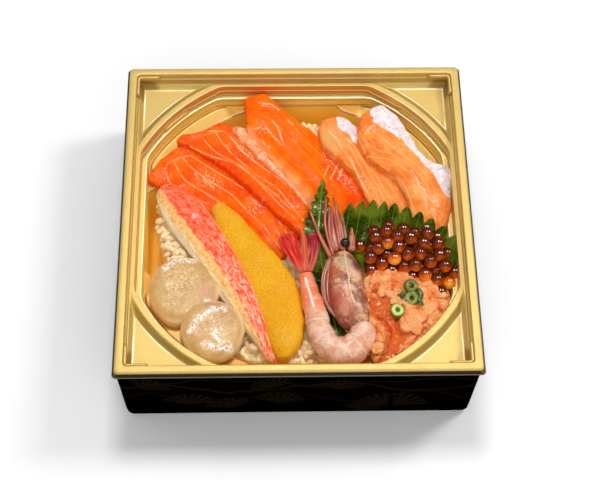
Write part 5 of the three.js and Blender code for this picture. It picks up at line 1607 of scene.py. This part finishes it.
# Spikes and feelers, each with its tone: 0 red, 0.5 pink, 1 grey brown
SPIKES = [
    (0.5, [(19.8, -15, 39, 1.6, 1.4), (18.4, -4, 40, 1.4, 1), (17.2, 8.5, 40.6, 0.5, 0.45)]),
    (0.35, [(17, -15, 38.4, 1.6, 1.2), (15.6, -4, 39.6, 1.1, 0.8), (15.2, 5, 40, 0.45, 0.4)]),
    (0.6, [(23, -15, 38.4, 2, 1.4), (23.8, -9, 38.8, 1.4, 0.9), (23.6, -3.6, 39, 0.45, 0.4)])]
FEELERS = [
    (0.0, [(15.5, -17, 38.4, 1, 0.9), (12.6, -5, 39.8, 0.8, 0.8), (12.8, 11, 40.8, 0.55, 0.55)]),
    (0.45, [(14.5, -18, 38, 1, 0.9), (10, -8, 39.2, 0.8, 0.8), (5.8, 4.5, 40, 0.55, 0.55)]),
    (0.9, [(14.6, -17, 38, 1.2, 1.2), (11.6, -26, 37.6, 1.1, 1.1), (11.4, -36, 36.8, 1, 1),
           (15.8, -45, 36.4, 0.8, 0.8)]),
    (0.6, [(15.4, -17, 38.6, 0.8, 0.8), (12.9, -27, 38.2, 0.7, 0.7), (13, -37, 37.4, 0.6, 0.6),
           (17.4, -46, 36.6, 0.5, 0.5)]),
    (0.3, [(13.6, -18, 38.8, 0.5, 0.5), (10.8, -26, 38.4, 0.5, 0.5), (10.6, -35, 37.4, 0.45, 0.45),
           (13.6, -43, 36.6, 0.4, 0.4)]),
    (0.8, [(16, -15, 39, 0.7, 0.6), (14, -5, 40, 0.6, 0.5), (14.4, 6, 40.6, 0.4, 0.4)]),
    (0.2, [(18.4, -14, 39.6, 0.8, 0.6), (17, -3, 40.6, 0.6, 0.5), (16.2, 11, 41, 0.35, 0.3)]),
    (0.9, [(20.8, -14, 39.4, 0.8, 0.6), (20.6, -5, 40.2, 0.6, 0.5), (19.4, 3, 40.6, 0.35, 0.3)])]


def belly_swell(share):
    """Each ring of the belly's shell grows a little and ends in a step over the next."""
    part = np.mod(share * BELLY_RINGS, 1)
    return 0.98 + 0.055 * part - 0.05 * smooth(part, 0.93, 1.0)


def belly_look():
    look = Look("shrimp_belly", inside=(0.4, 0.003, (1.0, 0.6, 0.45)),
                roughness=0.32, specular_ior_level=0.3)
    along, upward = look.layer("along"), look.layer("upward")
    rings = look.math("FRACT", look.times(along, BELLY_RINGS))
    border = look.between(rings, 0.86, 0.97)
    lines = look.stretched((along, 110), (upward, 2.0))
    cloud = look.noise(5, detail=3)
    look.base(look.between(cloud, 0.35, 0.65), (222, 158, 122), (242, 200, 176))
    look.paint(look.between(lines, 0.5, 0.7, 0.0, 0.5), (216, 148, 120))
    look.paint(look.times(border, 0.4), (250, 222, 206))
    look.paint(look.between(along, 0.24, 0.38, 0.9, 0.0), (240, 122, 74))
    # Painted highlights: fine light specks on the upper side, and a light line along the tail.
    speck = look.cloud(0.7, 0.58, 0.66, detail=2, distortion=1.2)
    speck = look.times(speck, look.between(upward, 0.5, 0.85, 0.0, 0.75))
    speck = look.times(speck, look.cloud(4, 0.42, 0.58, detail=2))
    look.paint(look.most(look.layer("painted_gleam"), speck), (255, 242, 230))
    look.press(lines, 0.1, 0.6)
    look.press(look.noise(1.0, detail=3), 0.08, 0.5)
    look.film((look.noise(1.6, detail=2), 0.14), (lines, 0.05), least=0.2)
    return look.done()


# Stains of the shell: place, reach, colour and strength
SHELL_STAINS = [
    ((15.5, -38, 40.6), 8, (186, 74, 44), 0.95), ((14.6, -26, 40.6), 5.5, (214, 100, 54), 0.95),
    ((26, -22, 40.6), 6, (120, 26, 58), 1.0), ((21, -43, 41.6), 6, (196, 104, 74), 0.75),
    ((19.4, -22, 42), 5, (176, 164, 128), 0.7)]


def shell_look():
    look = Look("shrimp_shell", inside=(0.3, 0.003, (1.0, 0.55, 0.4)),
                roughness=0.32, specular_ior_level=0.4)
    cloud = look.noise(5, detail=6, rough=0.65)
    specks = look.noise(0.8, detail=3)
    look.base(look.between(cloud, 0.4, 0.58), (146, 84, 50), (228, 176, 138))
    for place, radius, stain, amount in SHELL_STAINS:
        near = look.between(look.near(place, radius), 0.1, 1.0, amount, 0.0)
        near = look.times(near, look.between(cloud, 0.25, 0.55, 0.5, 1.0))
        look.paint(near, stain)
    look.paint(look.between(specks, 0.6, 0.72, 0.0, 0.5), (120, 66, 50))
    # The ridge's pale line: partly its own colour, partly a painted highlight.
    ridge = look.between(look.layer("ridge"), 0.2, 0.9)
    look.paint(look.times(ridge, 0.6), (240, 214, 190))
    look.paint(look.between(look.layer("side"), -0.95, -0.5, 0.75, 0.0), (150, 52, 34))
    look.press(cloud, 0.5, 0.6)
    look.press(specks, 0.12, 0.4)
    look.film((look.noise(1.8, detail=2), 0.12), least=0.05, most=0.55)
    return look.done()


def fan_look():
    look = Look("shrimp_fan", inside=(0.1, 0.002, (1.0, 0.3, 0.2)), roughness=0.4, specular_ior_level=0.1)
    tone, along, side = look.layer("tone"), look.layer("along"), look.layer("side")
    look.shade = look.ramp(tone,
                           [(0.0, (206, 6, 0)), (0.2, (210, 28, 4)), (0.5, (212, 92, 56)),
                            (0.62, (206, 84, 60)), (1.0, (146, 8, 30))])
    look.paint(look.between(along, 0.0, 0.35, 0.7, 0.0), (226, 120, 80))
    edge = look.between(look.size(side), 0.9, 1.0)
    look.paint(look.times(edge, 0.6), (238, 150, 118))
    ribs = look.stretched((side, 4), (along, 1.5), (tone, 9), detail=2)
    look.paint(look.between(ribs, 0.52, 0.64, 0.0, 0.6), (246, 112, 76))
    look.paint(look.between(ribs, 0.48, 0.36, 0.0, 0.6), (120, 0, 10))
    look.paint(look.between(along, 0.9, 0.97, 0.0, 0.25), (226, 150, 120))
    look.film((look.noise(2.0, detail=2), 0.15), (ribs, 0.15), most=0.15)
    look.press(ribs, 0.15, 0.7)
    return look.done()


def feeler_look():
    look = Look("shrimp_feelers", roughness=0.25, subsurface_weight=0.1, subsurface_scale=0.001)
    along, side, tone = look.layer("along"), look.layer("side"), look.layer("tone")
    streaks = look.stretched((along, 2.5), (side, 2.0), (tone, 9.0))
    look.shade = look.ramp(tone,
                           [(0.0, (170, 40, 22)), (0.5, (190, 94, 60)),
                            (1.0, (120, 80, 58))])
    look.paint(look.between(streaks, 0.5, 0.68, 0.0, 0.6), (234, 178, 146))
    look.paint(look.between(streaks, 0.5, 0.34, 0.0, 0.7), (112, 44, 28))
    look.press(streaks, 0.15, 0.6)
    return look.done()


def toned(parts, steps, sides, tips):
    """Limbs as one form, with the tone of each as a layer."""
    limbs = []
    for stations, tone in parts:
        form, layers = limb(stations, steps, sides, tips)
        limbs.append((form, dict(layers, tone=0 * layers["side"] + tone)))
    return gathered(limbs)


def make_shrimp():
    body, layers = limb(BELLY, 320, 64, (0.02, 0.05), belly_swell)
    body = swollen(body, 0.6 * noise(body[0], 4, 51) + 0.2 * noise(body[0], 1.4, 52))
    # Where the painted highlight line goes, on the upper side.
    painted_gleam = near_lines(body[0], TAIL_PAINTED_GLEAM, 0.65) * smooth(layers["upward"], 0.2, 0.6)
    layers = dict(layers, painted_gleam=painted_gleam)
    piece("shrimp_belly", body, belly_look(), replaces="sweet_shrimp", layers=layers)
    body, layers = limb(SHELL, 140, 96, (0.1, 0.12))
    middle = layers["side"] - 0.12
    ridge = np.exp(-(middle / 0.05) ** 2) * smooth(layers["upward"], 0.5, 0.9)
    ridge = ridge * smooth(layers["along"], 0.12, 0.3)
    body = swollen(body, 0.5 * ridge + 0.25 * noise(body[0], 6, 53))
    piece("shrimp_shell", body, shell_look(), replaces="sweet_shrimp",
          layers=dict(layers, ridge=ridge))
    form, layers = toned(FAN, 60, 40, (0.08, 0.09))
    piece("shrimp_tail_fan", form, fan_look(), replaces="sweet_shrimp", layers=layers)
    strands = [(stations, tone) for tone, stations in SPIKES + FEELERS]
    form, layers = toned(strands, 50, 14, (0.1, 0.1))
    piece("shrimp_feelers", form, feeler_look(), replaces="sweet_shrimp", layers=layers)
    eye = Look("shrimp_eye_black", roughness=0.08)
    eye.base(eye.between(eye.noise(1.5), 0.5, 0.7), (10, 10, 10), (40, 34, 28))
    points, faces = ball(24, 32)
    piece("shrimp_eye", (points * EYE_RADIUS + EYE, faces), eye.done(), replaces="sweet_shrimp")


# Rice: a core and single grains wherever they can be seen

RICE_RISES = [(-20, -60, 9, 6.5), (1, -60, 9, 6.5), (-58, 4, 12, 4), (-56, -10, 12, 3), (-22, 51, 6, 2),
              (15, 47, 5, 2)]
GRAIN_LENGTH = 5.2
GRAIN_WIDTH = 2.8


def rice_look(name, grain):
    look = Look(name, inside=(0.35, 0.0015, (1.0, 0.85, 0.65)), roughness=0.3, specular_ior_level=0.4)
    cloud = look.noise(3, detail=3)
    look.base(look.between(cloud, 0.35, 0.65), (248, 218, 170), (255, 238, 204))
    if not grain:
        look.paint(look.between(look.spots(2.4), 0.2, 0.6), (232, 208, 164))
    # Painted light: the rice emits a faint light, which lightens the shaded gaps between grains.
    look.set("Emission Color", (255, 214, 150))
    look.set("Emission Strength", 0.05)
    look.press(look.noise(0.7), 0.06, 0.5)
    return look.done()


def food_tree():
    """The toppings at few faces, to find where the rice can be seen."""
    parts = [slab(form, 40, 16)[0] for form in (
        CRAB_LEG, HERRING_ROE, SALMON_LEFT_FRONT, SALMON_LEFT_BACK, SALMON_CENTRE, SALMON_RIGHT_BACK,
        SALMON_RIGHT_FRONT)]
    parts += [mound(form, 12, 40)[0] for form in (SCALLOP_BACK, SCALLOP_FRONT, MINCED_SALMON, SALMON_ROE)]
    parts += [limb(BELLY, 20, 10)[0], limb(SHELL, 12, 10)[0], leaf(SHISO_LARGE, 60, 21)[0]]
    points, faces = joined(parts)
    return BVHTree.FromPolygons(points.tolist(), [corner for face in faces for corner in face.tolist()])


def rice_lift(points):
    """How far the rice is heaped above its even mound where it shows at the edge."""
    return np.max([lift * (1 - smooth(np.hypot(points[:, 0] - x, points[:, 1] - y), 0.5 * reach, reach))
                   for x, y, reach, lift in RICE_RISES], axis=0)


def make_rice():
    random = np.random.default_rng(15)
    core = dict(RICE, top=RICE["top"] - 1.2, rim=RICE["rim"] - 1)
    body, _ = mound(core, 60, 160)
    body = swollen(body, 0.5 * noise(body[0], 3, 61))
    body[0][:, 2] += rice_lift(body[0]) * smooth(body[0][:, 2], 12, 18)
    piece("rice_core", body, rice_look("rice_mass", False), replaces="rice")
    tree = food_tree()
    views = [(0, 0, 1)]
    views += [(0.6 * math.cos(a), 0.6 * math.sin(a), 0.8) for a in np.linspace(0, TURN, 8, False)]
    places = []
    for layer, gap in ((0, 2.5), (1, 2.9)):
        flat = spread(RICE, gap, 30 + layer, 0.985)
        share = mound_share(RICE, flat[:, 0], flat[:, 1])
        uneven = random.uniform(-0.4, 0.4, len(flat))
        height = mound_top(RICE, share) - 0.3 + 1.1 * layer + uneven + rice_lift(flat)
        places += [(x, y, z) for (x, y), z in zip(flat, height)
                   if any(tree.ray_cast((x, y, z), view)[0] is None for view in views)
                   and tree.find_nearest((x, y, z))[3] > 0.9]
    places = np.array(places)
    count = len(places)
    profile = lambda height: np.maximum(0.05, (1 - np.abs(height) ** 2.6) ** 0.55) * (1 - 0.08 * height)
    points, faces = ball(8, 8, profile)
    points[:, 0] += 0.22 * points[:, 2] ** 2
    turned = turns(random.uniform(0, TURN, count), random.uniform(0.95, 2.1, count),
                   random.uniform(0, TURN, count))
    sizes = np.stack([random.uniform(0.46, 0.54, count) * GRAIN_WIDTH,
                      random.uniform(0.42, 0.5, count) * GRAIN_WIDTH,
                      random.uniform(0.42, 0.54, count) * GRAIN_LENGTH], -1)
    form = scattered((points, faces), places, turned, sizes)
    piece("rice_grains", form, rice_look("rice_grain", True), replaces="rice")


make_camera()
make_studio()
make_tray()
make_box()
make_salmon()
make_crab()
make_herring_roe()
make_scallops()
make_salmon_roe()
make_mince()
make_leaves()
make_shrimp()
make_rice()
